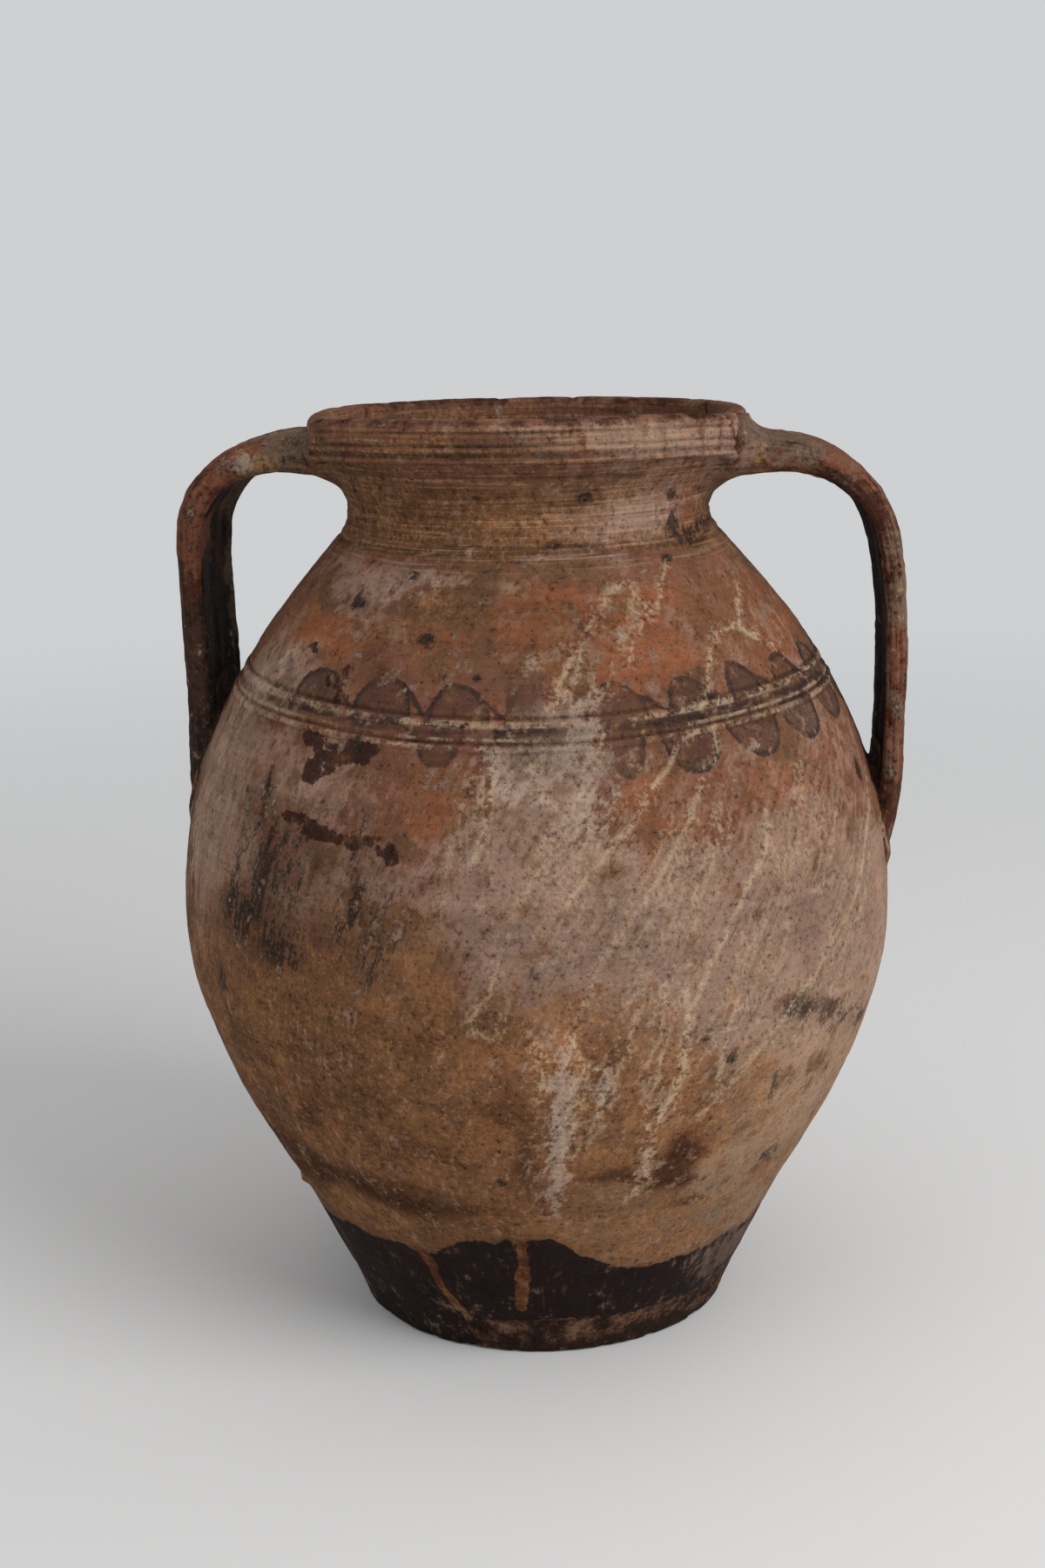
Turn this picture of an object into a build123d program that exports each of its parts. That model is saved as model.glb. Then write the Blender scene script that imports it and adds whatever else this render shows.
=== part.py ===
from build123d import *
from math import radians, tan
import os

# Olive jar: a wheel-thrown earthenware storage jar with two strap handles.
# Millimetres, +Z up. The jar stands on z = 0 with its turning axis on Z.
# The potter throws the body in rings, lutes them one on the other with slip, adds the rolled
# rim collar, and then presses on two pulled straps, each with a wad of clay at both of its roots.

# Body outline, from the ground up
jar_height = 440.0
foot_radius = 96.7
foot_height = 20.0
foot_step = 1.5
foot_edge_round = 2.5
belly_radius = 171.2
belly_height = 205.0
neck_radius = 85.9
neck_drop = 45.0
neck_rise = 13.0
neck_base_flare = 4.6
collar_height = 20.0
collar_reach = 17.6
collar_overhang = 7.0
collar_edge_round = 2.5
lip_round = 4.0

# Walls and inside
wall_thickness = 9.5
neck_thickness = 8.5
floor_thickness = 13.0
floor_corner_reach = 24.0
rim_thickness = 11.0
mouth_depth = 15.0

# Rings of the body and the lines they are luted on
joint_bevel_angle = 25.0
overrun = 20.0
joint_drop = 2.0

# Two incised lines round the shoulder, and the turned lines of the collar
band_gap = 6.9
band_line_radius = 1.0
collar_line_radius = 1.1

# Strap handles: the tops are those of the middle of the strap, below the lip
left_azimuth = 177.25
left_top_drop = 19.0
left_width = 63.0
left_thickness = 13.0
right_azimuth = 2.75
right_top_drop = 22.5
right_width = 58.0
right_thickness = 11.0
strap_root_sink = 11.0

# Wads of clay pressed round the roots of the straps
upper_wad_sink = 4.0
upper_wad_reach = 16.0
upper_wad_depth = 15.0
upper_wad_overlap = 6.0
lower_wad_sink = 1.5
lower_wad_reach = 9.5
lower_wad_depth = 24.0
lower_wad_overlap = 9.0

# Shares of the height and of the radius between the foot and the belly, and the belly and the neck
lower_curve_shares = ((0.22, 0.275), (0.49, 0.655), (0.76, 0.92))
shoulder_curve_shares = ((0.24, 0.94), (0.45, 0.79))
collar_line_shares = (0.21, 0.42, 0.70)
inner_lower_shares = (0.0, 0.35, 0.7)
inner_shoulder_shares = (0.05, 0.4, 0.75)
inner_flare_share = 0.85
band_rise_share = 0.634
band_radius_share = 0.611
left_reach_share = 0.8198
left_end_share = 0.132
left_crotch_share = 0.438
right_reach_share = 1.0044
right_end_share = 0.05
right_crotch_share = 0.253

# Slopes, as sideways over up: of the wall above the foot, of the shoulder below the neck, of the flare
wall_start_slope = 0.55
neck_base_slope = -0.85
flare_slope = 0.55

# Route of each strap: share of the reach beyond the collar, and share of the fall from top to end
left_route_shares = (
    (0.26, 0.004), (0.59, 0.032), (0.82, 0.085), (0.95, 0.15),
    (0.995, 0.24), (1.0, 0.38), (0.97, 0.62), (0.98, 0.82), (1.0, 1.0),
)
right_route_shares = (
    (0.24, 0.004), (0.48, 0.02), (0.75, 0.083), (0.88, 0.147),
    (0.942, 0.222), (0.993, 0.365), (1.0, 0.47), (0.985, 0.68), (0.95, 1.0),
)
# Stations along a strap: share of the route, of the strap's width and of its thickness
left_station_shares = (
    (0.0, 1.16, 1.28), (0.10, 1.05, 1.24), (0.19, 1.0, 1.16), (0.27, 0.98, 1.08), (0.36, 0.97, 1.04),
    (0.48, 0.96, 1.0), (0.62, 0.97, 1.0), (0.76, 1.0, 1.0), (0.88, 1.06, 1.0), (1.0, 1.18, 1.0),
)
right_station_shares = (
    (0.0, 1.16, 1.36), (0.10, 1.05, 1.32), (0.19, 1.0, 1.26), (0.27, 0.98, 1.16), (0.36, 0.97, 1.06),
    (0.48, 0.96, 0.98), (0.62, 0.97, 0.92), (0.76, 1.0, 0.88), (0.88, 1.06, 0.86), (1.0, 1.18, 0.86),
)
# Section of a strap: thickness of its edges, roundness of the edges and hollow of the inner face
strap_edge_share = 0.74
strap_edge_round_share = 0.42
strap_hollow_share = 0.06

# Places that follow from the sizes above
wall_start_radius = foot_radius + foot_step
neck_height = jar_height - neck_drop
neck_base_height = neck_height - neck_rise
neck_base_radius = neck_radius + neck_base_flare
collar_bottom = jar_height - collar_height
collar_radius = neck_radius + collar_reach
collar_seat_radius = collar_radius - collar_overhang
mouth_radius = collar_radius - rim_thickness
band_height = belly_height + band_rise_share * (neck_base_height - belly_height)
band_radius = neck_base_radius + band_radius_share * (belly_radius - neck_base_radius)
left_reach = collar_radius + left_reach_share * (belly_radius - collar_radius)
left_top = jar_height - left_top_drop
left_end = belly_height + left_end_share * (jar_height - belly_height)
right_reach = collar_radius + right_reach_share * (belly_radius - collar_radius)
right_top = jar_height - right_top_drop
right_end = belly_height + right_end_share * (jar_height - belly_height)
upright = (0, 1)


def share_points(shares, low, high):
    """Points at shares of the height and the radius between two corners of the outline."""
    rise = high[1] - low[1]
    widening = high[0] - low[0]
    return [(low[0] + across * widening, low[1] + up * rise) for up, across in shares]


def inside_of(curve, share, thickness):
    """The point of the inner wall that faces a share of an outer curve."""
    place = curve @ share
    along = curve % share
    return Vector(place.X - along.Y * thickness, place.Y + along.X * thickness)


# Outline of the outside, radius along X and height along Y
foot_top = (foot_radius, foot_height)
wall_start = (wall_start_radius, foot_height)
belly = (belly_radius, belly_height)
band = (band_radius, band_height)
neck_base = (neck_base_radius, neck_base_height)
neck = (neck_radius, neck_height)
collar_seat = (collar_seat_radius, collar_bottom)

lower_points = share_points(lower_curve_shares, wall_start, belly)
shoulder_points = share_points(
    shoulder_curve_shares, (neck_radius, belly_height), (belly_radius, neck_height)
)
base_line = Line((0, 0), (foot_radius - foot_edge_round, 0))
foot_round = CenterArc((foot_radius - foot_edge_round, foot_edge_round), foot_edge_round, -90, 90)
foot_side = Line((foot_radius, foot_edge_round), foot_top)
foot_ledge = Line(foot_top, wall_start)
lower_curve = Spline(wall_start, *lower_points, belly, tangents=[(wall_start_slope, 1), upright])
shoulder_curve = Spline(belly, *shoulder_points, band, neck_base, tangents=[upright, (neck_base_slope, 1)])
neck_curve = Spline(neck_base, neck, tangents=[(neck_base_slope, 1), upright])
flare_curve = Spline(neck, collar_seat, tangents=[upright, (flare_slope, 1)])
collar_under = Line(collar_seat, (collar_radius - collar_edge_round, collar_bottom))
collar_round = CenterArc(
    (collar_radius - collar_edge_round, collar_bottom + collar_edge_round), collar_edge_round, -90, 90
)
lip_start = (collar_radius, jar_height - lip_round)
collar_side = Line((collar_radius, collar_bottom + collar_edge_round), lip_start)
lip_outside = CenterArc((collar_radius - lip_round, jar_height - lip_round), lip_round, 0, 90)
outside = [
    base_line, foot_round, foot_side, foot_ledge, lower_curve, shoulder_curve, neck_curve,
    flare_curve, collar_under, collar_round, collar_side, lip_outside,
]

# Outline of the inside, from the lip down to the floor
lip_top = Line((collar_radius - lip_round, jar_height), (mouth_radius + lip_round, jar_height))
lip_inside = CenterArc((mouth_radius + lip_round, jar_height - lip_round), lip_round, 90, 90)
bore_start = (mouth_radius, jar_height - mouth_depth)
bore_side = Line((mouth_radius, jar_height - lip_round), bore_start)
under_bore = inside_of(flare_curve, inner_flare_share, neck_thickness)
neck_inside = (neck_radius - neck_thickness, neck_height)
shoulder_inside = [
    inside_of(shoulder_curve, share, wall_thickness) for share in reversed(inner_shoulder_shares)
]
lower_inside = [inside_of(lower_curve, share, wall_thickness) for share in reversed(inner_lower_shares)]
inner_wall_foot = lower_inside[-1]
inner_wall = Spline(bore_start, under_bore, neck_inside, *shoulder_inside, *lower_inside)
floor_edge = (inner_wall_foot.X - floor_corner_reach, floor_thickness)
floor_corner = Spline(inner_wall_foot, floor_edge, tangents=[inner_wall % 1, (-1, 0)])
floor_line = Line(floor_edge, (0, floor_thickness))
axis_line = Line((0, floor_thickness), (0, 0))
inside = [lip_top, lip_inside, bore_side, inner_wall, floor_corner, floor_line, axis_line]
wall_face = make_face(outside + inside)

# The same outside filled to the axis, which the straps and the wads are pressed against
core_top = Line((collar_radius - lip_round, jar_height), (0, jar_height))
core_axis = Line((0, jar_height), (0, 0))
core = revolve(Plane.XZ * make_face(outside + [core_top, core_axis]), Axis.Z)


def luting_line(seat, bevel):
    """The line between two rings, from beyond the wall through its outer point to the axis."""
    beyond = (belly_radius + overrun, seat[1] - joint_drop)
    on_axis = (0, seat[1] - seat[0] * tan(radians(bevel)))
    return [beyond, seat, on_axis]


def ring(lower_line, upper_line):
    """One thrown ring of the body, between two luting lines."""
    region = make_face(Polyline(*lower_line, *reversed(upper_line), close=True))
    return revolve(Plane.XZ * (wall_face & region), Axis.Z)


def incised(body, place, radius):
    """A line pressed into a ring while the wheel turns."""
    mark = Pos(place[0], place[1]) * Circle(radius)
    return body - revolve(Plane.XZ * mark, Axis.Z)


ground_line = [(belly_radius + overrun, -overrun), (0, -overrun)]
sky_line = [(belly_radius + overrun, jar_height + overrun), (0, jar_height + overrun)]
foot_line = luting_line(wall_start, -joint_bevel_angle)
belly_line = luting_line(belly, joint_bevel_angle)
band_line = luting_line(band, joint_bevel_angle)
neck_line = luting_line(neck_base, joint_bevel_angle)
collar_line = luting_line(collar_seat, joint_bevel_angle)

foot_disc = ring(ground_line, foot_line)
lower_wall = ring(foot_line, belly_line)
belly_wall = ring(belly_line, band_line)
shoulder_wall = ring(band_line, neck_line)
neck_ring = ring(neck_line, collar_line)
rim_collar = ring(collar_line, sky_line)

# The two incised lines lie on each side of the joint at the shoulder and hide it
band_slope = (neck_base_radius - belly_radius) / (neck_base_height - belly_height)
band_along = Vector(band_slope, 1).normalized() * (band_gap / 2)
belly_wall = incised(belly_wall, (band_radius - band_along.X, band_height - band_along.Y), band_line_radius)
shoulder_wall = incised(
    shoulder_wall, (band_radius + band_along.X, band_height + band_along.Y), band_line_radius
)
for share in collar_line_shares:
    collar_line_place = (collar_radius, collar_bottom + share * collar_height)
    rim_collar = incised(rim_collar, collar_line_place, collar_line_radius)


def strap_section(width, thickness):
    """Section of a pulled strap: crowned outside, rounded edges, slightly hollow inside."""
    edge = thickness * strap_edge_share / 2
    corner = width / 2 - edge * 2 * strap_edge_round_share
    hollow = edge - thickness * strap_hollow_share
    crown = ThreePointArc((-corner, edge), (0, thickness / 2), (corner, edge))
    front_edge = ThreePointArc((corner, edge), (width / 2, 0), (corner, -edge))
    back_face = ThreePointArc((corner, -edge), (0, -hollow), (-corner, -edge))
    rear_edge = ThreePointArc((-corner, -edge), (-width / 2, 0), (-corner, edge))
    return make_face([crown, front_edge, back_face, rear_edge])


def strap(route_shares, station_shares, reach, top, end, width, thickness):
    """A strap pulled from the neck out, round the bend and down to the belly, in the XZ plane."""
    root = (collar_radius - strap_root_sink, 0, top)
    places = [
        (collar_radius + out * (reach - collar_radius), 0, top - fall * (top - end))
        for out, fall in route_shares
    ]
    route = Spline(root, *places)
    sections = [
        Plane(origin=route @ share, x_dir=(0, 1, 0), z_dir=route % share)
        * strap_section(width * width_share, thickness * thickness_share)
        for share, width_share, thickness_share in station_shares
    ]
    return loft(sections) - core


def wad(reach, depth, width, radius, height):
    """A pat of clay pressed on the wall at a strap's root, in the XZ plane."""
    pat = scale(Sphere(1), by=(reach, width / 2, depth))
    return Pos(radius, 0, height) * pat - core


left_strap = strap(
    left_route_shares, left_station_shares, left_reach, left_top, left_end, left_width, left_thickness
)
right_strap = strap(
    right_route_shares, right_station_shares, right_reach, right_top, right_end, right_width, right_thickness
)


def root_wads(bare_strap, top, crotch_share, width, thickness):
    """The wad under the upper root of a strap, and the one in the crotch of its lower root."""
    crotch = shoulder_curve @ crotch_share
    upper = wad(
        upper_wad_reach, upper_wad_depth, width + 2 * upper_wad_overlap,
        neck_radius - upper_wad_sink, top - thickness,
    )
    lower = wad(
        lower_wad_reach, lower_wad_depth, width + 2 * lower_wad_overlap,
        crotch.X - lower_wad_sink, crotch.Y,
    )
    return upper - bare_strap, lower - bare_strap


left_upper_wad, left_lower_wad = root_wads(
    left_strap, left_top, left_crotch_share, left_width, left_thickness
)
right_upper_wad, right_lower_wad = root_wads(
    right_strap, right_top, right_crotch_share, right_width, right_thickness
)
turn_left = Rot(0, 0, left_azimuth)
turn_right = Rot(0, 0, right_azimuth)

nodes = {
    "foot_disc": foot_disc,
    "lower_wall": lower_wall,
    "belly_wall": belly_wall,
    "shoulder_wall": shoulder_wall,
    "neck_ring": neck_ring,
    "rim_collar": rim_collar,
    "left_handle": turn_left * left_strap,
    "right_handle": turn_right * right_strap,
    "left_handle_upper_wad": turn_left * left_upper_wad,
    "left_handle_lower_wad": turn_left * left_lower_wad,
    "right_handle_upper_wad": turn_right * right_upper_wad,
    "right_handle_lower_wad": turn_right * right_lower_wad,
}
os.makedirs("parts", exist_ok=True)
for name, solid in nodes.items():
    export_step(solid, "parts/" + name + ".step")
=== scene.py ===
from math import cos, pi, radians, sin

import bmesh
import bpy
import numpy as np
from mathutils import Matrix, Vector


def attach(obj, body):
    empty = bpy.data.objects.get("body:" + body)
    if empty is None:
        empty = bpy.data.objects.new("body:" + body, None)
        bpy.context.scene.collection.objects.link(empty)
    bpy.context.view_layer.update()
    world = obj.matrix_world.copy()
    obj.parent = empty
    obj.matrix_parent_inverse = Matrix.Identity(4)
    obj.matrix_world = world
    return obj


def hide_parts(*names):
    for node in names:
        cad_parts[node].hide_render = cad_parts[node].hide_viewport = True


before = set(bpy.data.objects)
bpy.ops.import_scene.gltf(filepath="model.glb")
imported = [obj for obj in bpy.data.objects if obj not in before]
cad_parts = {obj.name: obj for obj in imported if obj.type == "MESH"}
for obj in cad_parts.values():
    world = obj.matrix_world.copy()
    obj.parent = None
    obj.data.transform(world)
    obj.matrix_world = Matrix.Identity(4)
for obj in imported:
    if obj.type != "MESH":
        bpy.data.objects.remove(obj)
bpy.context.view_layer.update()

bl_info = {
    "name": "Olive jar",
    "version": (1, 0, 0),
    "blender": (4, 5, 0),
    "location": "3D View > Sidebar > Olive jar",
    "description": "Builds an old wheel-thrown olive jar with two strap handles round its CAD frame",
    "category": "Object",
}

# The frame is in metres and the tables below are in millimetres. A turn is in degrees round the jar:
# 0 at the front (-Y), growing towards +X.
MM = 0.001
# Whether a row of an outline carries the weathered skin
SKIN, BACK = 1, 0
# Joints where one thrown ring was luted to the next: height outside and height inside
FOOT_JOINT = (20, 20)
WIDE_JOINT = (205, 201)
BAND_JOINT = (317.2, 313)
NECK_JOINT = (382, 378)
COLLAR_JOINT = (420, 416)
# Foot and collar: outer radius, rounding of the edges, floor and lip heights, and the bore
FOOT_RADIUS, FOOT_ROUND, FLOOR = 91.0, 2.4, 13.0
COLLAR_RADIUS, COLLAR_ROUND, LIP_ROUND, LIP = 103.5, 2.5, 4, 440
BORE_RADIUS, BORE_FOOT = 92.5, 425
# Turn of the middle of each handle, to the left and to the right
HANDLE_TURN = 92.75
# Height between the upper and the lower roots of the straps
ROOT_DIVIDE = 350
# Size of the root fillet that the straps' own fillets are given for
ROOT_FILLET = 9.0
# Height and radius of the outside, from the foot to the collar
OUTLINE = (
    (20, 98.2), (25, 100.87), (30, 103.4), (40, 108.22), (50, 112.97), (60, 117.91), (80, 129.01),
    (100, 140.45), (120, 150.42), (140, 158.54), (160, 165.18), (180, 169.72), (205, 171.2), (220, 170.64),
    (240, 168.17), (260, 163.79), (280, 157.46), (300, 148.96), (317.2, 139.82), (330, 131.82),
    (340, 124.81), (350, 117.18), (360, 109.08), (370, 100.69), (376, 95.6), (382, 90.5), (384.5, 88.67),
    (387, 87.39), (390, 86.43), (395, 85.9), (400, 86.31), (405, 87.69), (410, 90.15), (415, 93.38),
    (420, 96.5),
)
# Height and radius of the inside, from the floor to the bore
INLINE = (
    (14, 76), (20, 86.98), (30, 92.23), (40, 96.89), (60, 107.16), (100, 129.28), (140, 148.4),
    (180, 159.35), (205, 161.57), (240, 158.55), (280, 147.32), (320, 127.85), (340, 112.68), (360, 94.19),
    (370, 86.34), (380, 80.75), (385, 78.95), (390, 77.83), (395, 77.41), (400, 77.65), (405, 78.54),
    (410, 80.09), (415, 82.5), (420, 86.16), (425, 92.5),
)
# How far the hand-cut band strays from level: turn and lift
BAND_LIFTS = (
    (-180, 0.8), (-140, 0.2), (-100, 0.6), (-60, 0.1), (-40, -1.3), (-20, -3.4), (0, -4.1), (15, -3.9),
    (30, -2.6), (50, -0.6), (70, 0.4), (100, 0.6), (140, 0.2), (180, 0.8),
)
# Heights of the lines cut in the band and of the lines turned in the collar
BAND_LINES = (323.6, 313.7)
COLLAR_LINES = (424.2, 428.4, 434.0)


def natural_spline(table):
    """A smooth curve through (place, value) pairs."""
    knots, values = np.array(table, float).T
    gaps = np.diff(knots)
    slopes = np.diff(values) / gaps
    system = np.eye(len(knots))
    wanted = np.zeros(len(knots))
    for i in range(1, len(gaps)):
        system[i, i - 1:i + 2] = gaps[i - 1], 2 * (gaps[i - 1] + gaps[i]), gaps[i]
        wanted[i] = 6 * (slopes[i] - slopes[i - 1])
    bends = np.linalg.solve(system, wanted)

    def curve(place):
        i = np.clip(np.searchsorted(knots, place) - 1, 0, len(gaps) - 1)
        t = place - knots[i]
        g = gaps[i]
        start = slopes[i] - g * (2 * bends[i] + bends[i + 1]) / 6
        return values[i] + t * start + t ** 2 * bends[i] / 2 + t ** 3 * (bends[i + 1] - bends[i]) / (6 * g)

    return curve


outside = natural_spline(OUTLINE)
inside = natural_spline(INLINE)
band_lift = natural_spline(BAND_LIFTS)
WALL_LOW, WALL_HIGH = OUTLINE[0][0], OUTLINE[-1][0]


def radius_at(height):
    """Outer radius of the body at a height."""
    return outside(np.clip(height, WALL_LOW, WALL_HIGH))


# Way along the wall up to each of many heights
HEIGHTS = np.linspace(-10, 450, 1841)
RUN = np.concatenate(([0.0], np.cumsum(np.hypot(np.diff(HEIGHTS), np.diff(radius_at(HEIGHTS))))))


def run_at(height):
    """Way along the wall up to a height."""
    return np.interp(height, HEIGHTS, RUN)


def ease(value, low, high):
    """0 below low, 1 above high, and a smooth rise between."""
    t = np.clip((value - low) / (high - low), 0, 1)
    return t * t * (3 - 2 * t)


def bell(value, middle, width):
    """1 at the middle, falling to 0 within about twice the width."""
    return np.exp(-((value - middle) / width) ** 2)


# Large odd numbers that spread the noise's random values, and the bits that are kept of them
CELL_PRIMES = (73856093, 19349663, 83492791)
SEED_PRIME = 49979687
SCATTER_PRIMES = (1274126177, 668265263)
WORD = 0xFFFFFFFF


def scatter(n):
    """A fixed random number from -1 to 1 for each whole number."""
    for shift, prime in zip((13, 15), SCATTER_PRIMES):
        n = ((n ^ (n >> shift)) * prime) & WORD
    return ((n ^ (n >> 16)) & 0xFFFF) / 32767.5 - 1


def noise(points, size, seed, squash=(1, 1, 1)):
    """Smooth noise from -1 to 1 at points, with features of one size."""
    p = points * (np.array(squash) / size)
    cell = np.floor(p)
    t = p - cell
    t = t ** 3 * (t * (t * 6 - 15) + 10)
    cells = cell.astype(np.int64).T
    keys = [(row * prime, (row + 1) * prime) for row, prime in zip(cells, CELL_PRIMES)]
    total = 0
    for i in (0, 1):
        for j in (0, 1):
            side = (t[:, 0] if i else 1 - t[:, 0]) * (t[:, 1] if j else 1 - t[:, 1])
            plane = keys[0][i] ^ keys[1][j] ^ (seed * SEED_PRIME)
            for k in (0, 1):
                share = side * (t[:, 2] if k else 1 - t[:, 2])
                total = total + share * scatter((plane ^ keys[2][k]) & WORD)
    return total


def layered(points, size, seed, layers=3):
    """Noise with finer and weaker layers added."""
    return sum(noise(points, size / 2 ** n, seed + n) * 0.55 ** n for n in range(layers))


# Sizes and colours to change


def linear(red, green, blue):
    """A colour given in 0 to 255 as screens show it, in linear light."""
    parts = [c / 255 for c in (red, green, blue)]
    return [c / 12.92 if c <= 0.04045 else ((c + 0.055) / 1.055) ** 2.4 for c in parts] + [1.0]


def colour(name, description, *screen):
    """A colour that can be changed in the panel."""
    return bpy.props.FloatVectorProperty(
        name=name, description=description, subtype="COLOR", size=4, min=0, max=1, default=linear(*screen)
    )


def length(name, description, mm):
    """A length that can be changed in the panel."""
    return bpy.props.FloatProperty(
        name=name, description=description, subtype="DISTANCE", unit="LENGTH", precision=5, default=mm * MM
    )


class JarForm(bpy.types.PropertyGroup):
    """Sizes of the handmade form."""

    turn_steps: bpy.props.IntProperty(
        name="Steps round", description="Faces round the jar", default=780, min=48
    )
    row_step: length("Row step", "Height of a row of faces on the body", 1.3)
    waver: length("Waver", "How far the thrown wall strays from true", 0.8)
    ridge: length("Throwing ridges", "Height of the ridges that the fingers left", 0.16)
    twist: bpy.props.FloatProperty(
        name="Streak slant", description="How far the washed streaks slant", default=1.0, subtype="FACTOR"
    )
    lump: length("Lumps", "Height of small lumps in the clay", 0.16)
    band_groove: length("Band depth", "Depth of the two lines cut round the shoulder", 0.7)
    collar_groove: length("Collar line depth", "Depth of the lines turned in the collar", 0.9)
    rim_tilt: length("Rim tilt", "How much higher the front of the lip is than the middle", 2.4)
    chip: length("Chips", "Depth of chips at the lip and the foot", 1.6)
    root: length("Root fillet", "How far the clay is smeared round the roots of the straps", ROOT_FILLET)


class JarColours(bpy.types.PropertyGroup):
    """Colours of the clay and of what time left on it."""

    orange: colour("Orange clay", "Bare fired clay", 133, 82, 56)
    amber: colour("Amber clay", "Browner fired clay", 116, 77, 55)
    brown: colour("Brown clay", "Weathered brown surface", 107, 76, 56)
    red: colour("Red clay", "Reddish weathered surface", 116, 76, 60)
    film: colour("Lilac film", "Thin grey-lilac film of lime", 143, 116, 101)
    bloom: colour("Bloom", "Whitish salt bloom", 160, 140, 126)
    crust: colour("Crust", "Olive-brown dusty crust", 106, 74, 50)
    ochre: colour("Ochre grains", "Yellowish grains in the crust", 148, 113, 74)
    gold: colour("Golden crust", "Warm golden part of the crust", 125, 86, 54)
    tan: colour("Tan", "Pale worn clay low on the belly", 141, 115, 92)
    paint: colour("Slip paint", "Brown of the painted scallops", 62, 46, 41)
    splash: colour("Red slip", "Splashes of dark red slip", 54, 31, 27)
    glaze: colour("Glaze", "Near-black glaze at the base", 25, 14, 12)
    drip: colour("Clay in the glaze", "Orange-brown clay where the glaze parts", 77, 42, 25)
    lime: colour("Lime", "Cream lime streaks", 168, 148, 122)
    rust: colour("Rust", "Dark rusty stains", 64, 39, 25)
    soot: colour("Soot", "Black sooty grime", 40, 33, 29)
    strap: colour("Strap clay", "Dark red-brown of the handles", 76, 45, 33)
    worn: colour("Worn strap", "Rubbed edges of the handles", 116, 73, 55)
    ash: colour("Ash", "Grey dust on the handles", 104, 87, 73)
    # The hollow colour is partly painted shade on the straps' inner side; the muddy foot uses it too
    hollow: colour("Hollow", "Blackened hollow side of the handles", 27, 20, 17)


class JarStage(bpy.types.PropertyGroup):
    """Floor, light and camera."""

    floor: colour("Floor", "Pale floor", 232, 232, 232)
    backdrop: colour("Backdrop", "Pale background", 206, 208, 210)
    ambient: bpy.props.FloatProperty(name="Ambient", description="Strength of the even light", default=0.52)
    key: bpy.props.FloatProperty(
        name="Key", description="Power of the soft main light", default=34.0, unit="POWER"
    )
    fill: bpy.props.FloatProperty(
        name="Fill", description="Power of the soft left light", default=3.0, unit="POWER"
    )
    lens: bpy.props.FloatProperty(
        name="Lens", description="Focal length in mm", default=53.0, unit="CAMERA"
    )


# Marks on the surface

# How much cream crust the band keeps: turn and amount
BAND_CREAM = (
    (-180, 0.8), (-75, 0.7), (-55, 1), (-30, 0.8), (-20, 1.1), (-4, 0.9), (8, 0.7), (14, 0.4), (27, 0.35),
    (33, 0.9), (38, 1.1), (75, 1), (90, 0.8), (180, 0.8),
)
# Painted scallops over the band: middle turn, half width in degrees, top height, lean to the left, strength
SCALLOPS_UP = (
    (-67.5, 6.4, 333.5, 0.2, 0.4), (-53.6, 5.8, 336, 0.1, 0.55), (-39, 6.6, 335, 0.1, 0.75),
    (-23.4, 6.4, 334.6, 0, 0.9), (-8.4, 5.9, 332.6, 0, 0.85), (5.8, 5.8, 332.8, 0.1, 0.6),
    (20.9, 5.8, 332.4, 0.2, 0.7), (35.8, 4.9, 332, 0.5, 1), (49.4, 4.7, 334.4, 0.5, 0.95),
    (63.6, 4.9, 333.4, 0.6, 1), (78, 5.2, 332.6, 0.6, 1), (92.6, 5.4, 332.6, 0.5, 0.9),
    (107, 5.6, 333.8, 0.5, 0.85), (121.4, 5.2, 332, 0.6, 0.85), (135.8, 5.8, 333.2, 0.4, 0.75),
    (150.4, 5.4, 332.4, 0.5, 0.85), (164.6, 5.8, 334, 0.4, 0.7), (179.2, 5.4, 332.5, 0.5, 0.8),
    (193.6, 5.8, 333.4, 0.3, 0.65), (208, 5.6, 332.2, 0.4, 0.75), (222.4, 5.7, 333.6, 0.3, 0.6),
    (236.8, 5.4, 332.8, 0.4, 0.65), (251.2, 5.8, 332.4, 0.2, 0.55), (265.4, 5.4, 333.8, 0.3, 0.5),
    (279.4, 5.6, 333, 0.2, 0.45),
)
# Painted scallops under the band: middle turn, half width, bottom height, lean to the right, strength
SCALLOPS_DOWN = (
    (-60.5, 6.2, 297, 0.3, 0.35), (-25.8, 5.6, 299, 0.2, 0.4), (-11.6, 4.6, 300, 0.3, 0.65),
    (5, 6.4, 296.4, 0.2, 0.75), (20.4, 3.9, 293.4, 0.3, 0.65), (32.4, 5.9, 293, 0.5, 0.95),
    (46.6, 6.5, 294.4, 0.6, 0.9), (61, 6.3, 296.2, 0.6, 0.9), (75.6, 6.3, 297.8, 0.6, 1),
    (90, 6.2, 297.4, 0.5, 0.9), (104.4, 6.3, 296, 0.5, 0.8), (118.8, 6, 297, 0.6, 0.85),
    (133.2, 6.4, 295.6, 0.4, 0.7), (147.6, 6.2, 296.8, 0.5, 0.8), (162, 6.4, 296, 0.5, 0.65),
    (176.4, 6.1, 297.2, 0.6, 0.75), (190.8, 6.4, 295.8, 0.4, 0.6), (205.2, 6.2, 296.6, 0.5, 0.7),
    (219.6, 6.3, 296, 0.4, 0.5), (234, 6, 297, 0.5, 0.55), (248.4, 6.2, 296.2, 0.3, 0.45),
    (262.8, 5.8, 297.4, 0.4, 0.4), (277.2, 5.8, 296.6, 0.3, 0.35),
)
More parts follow.
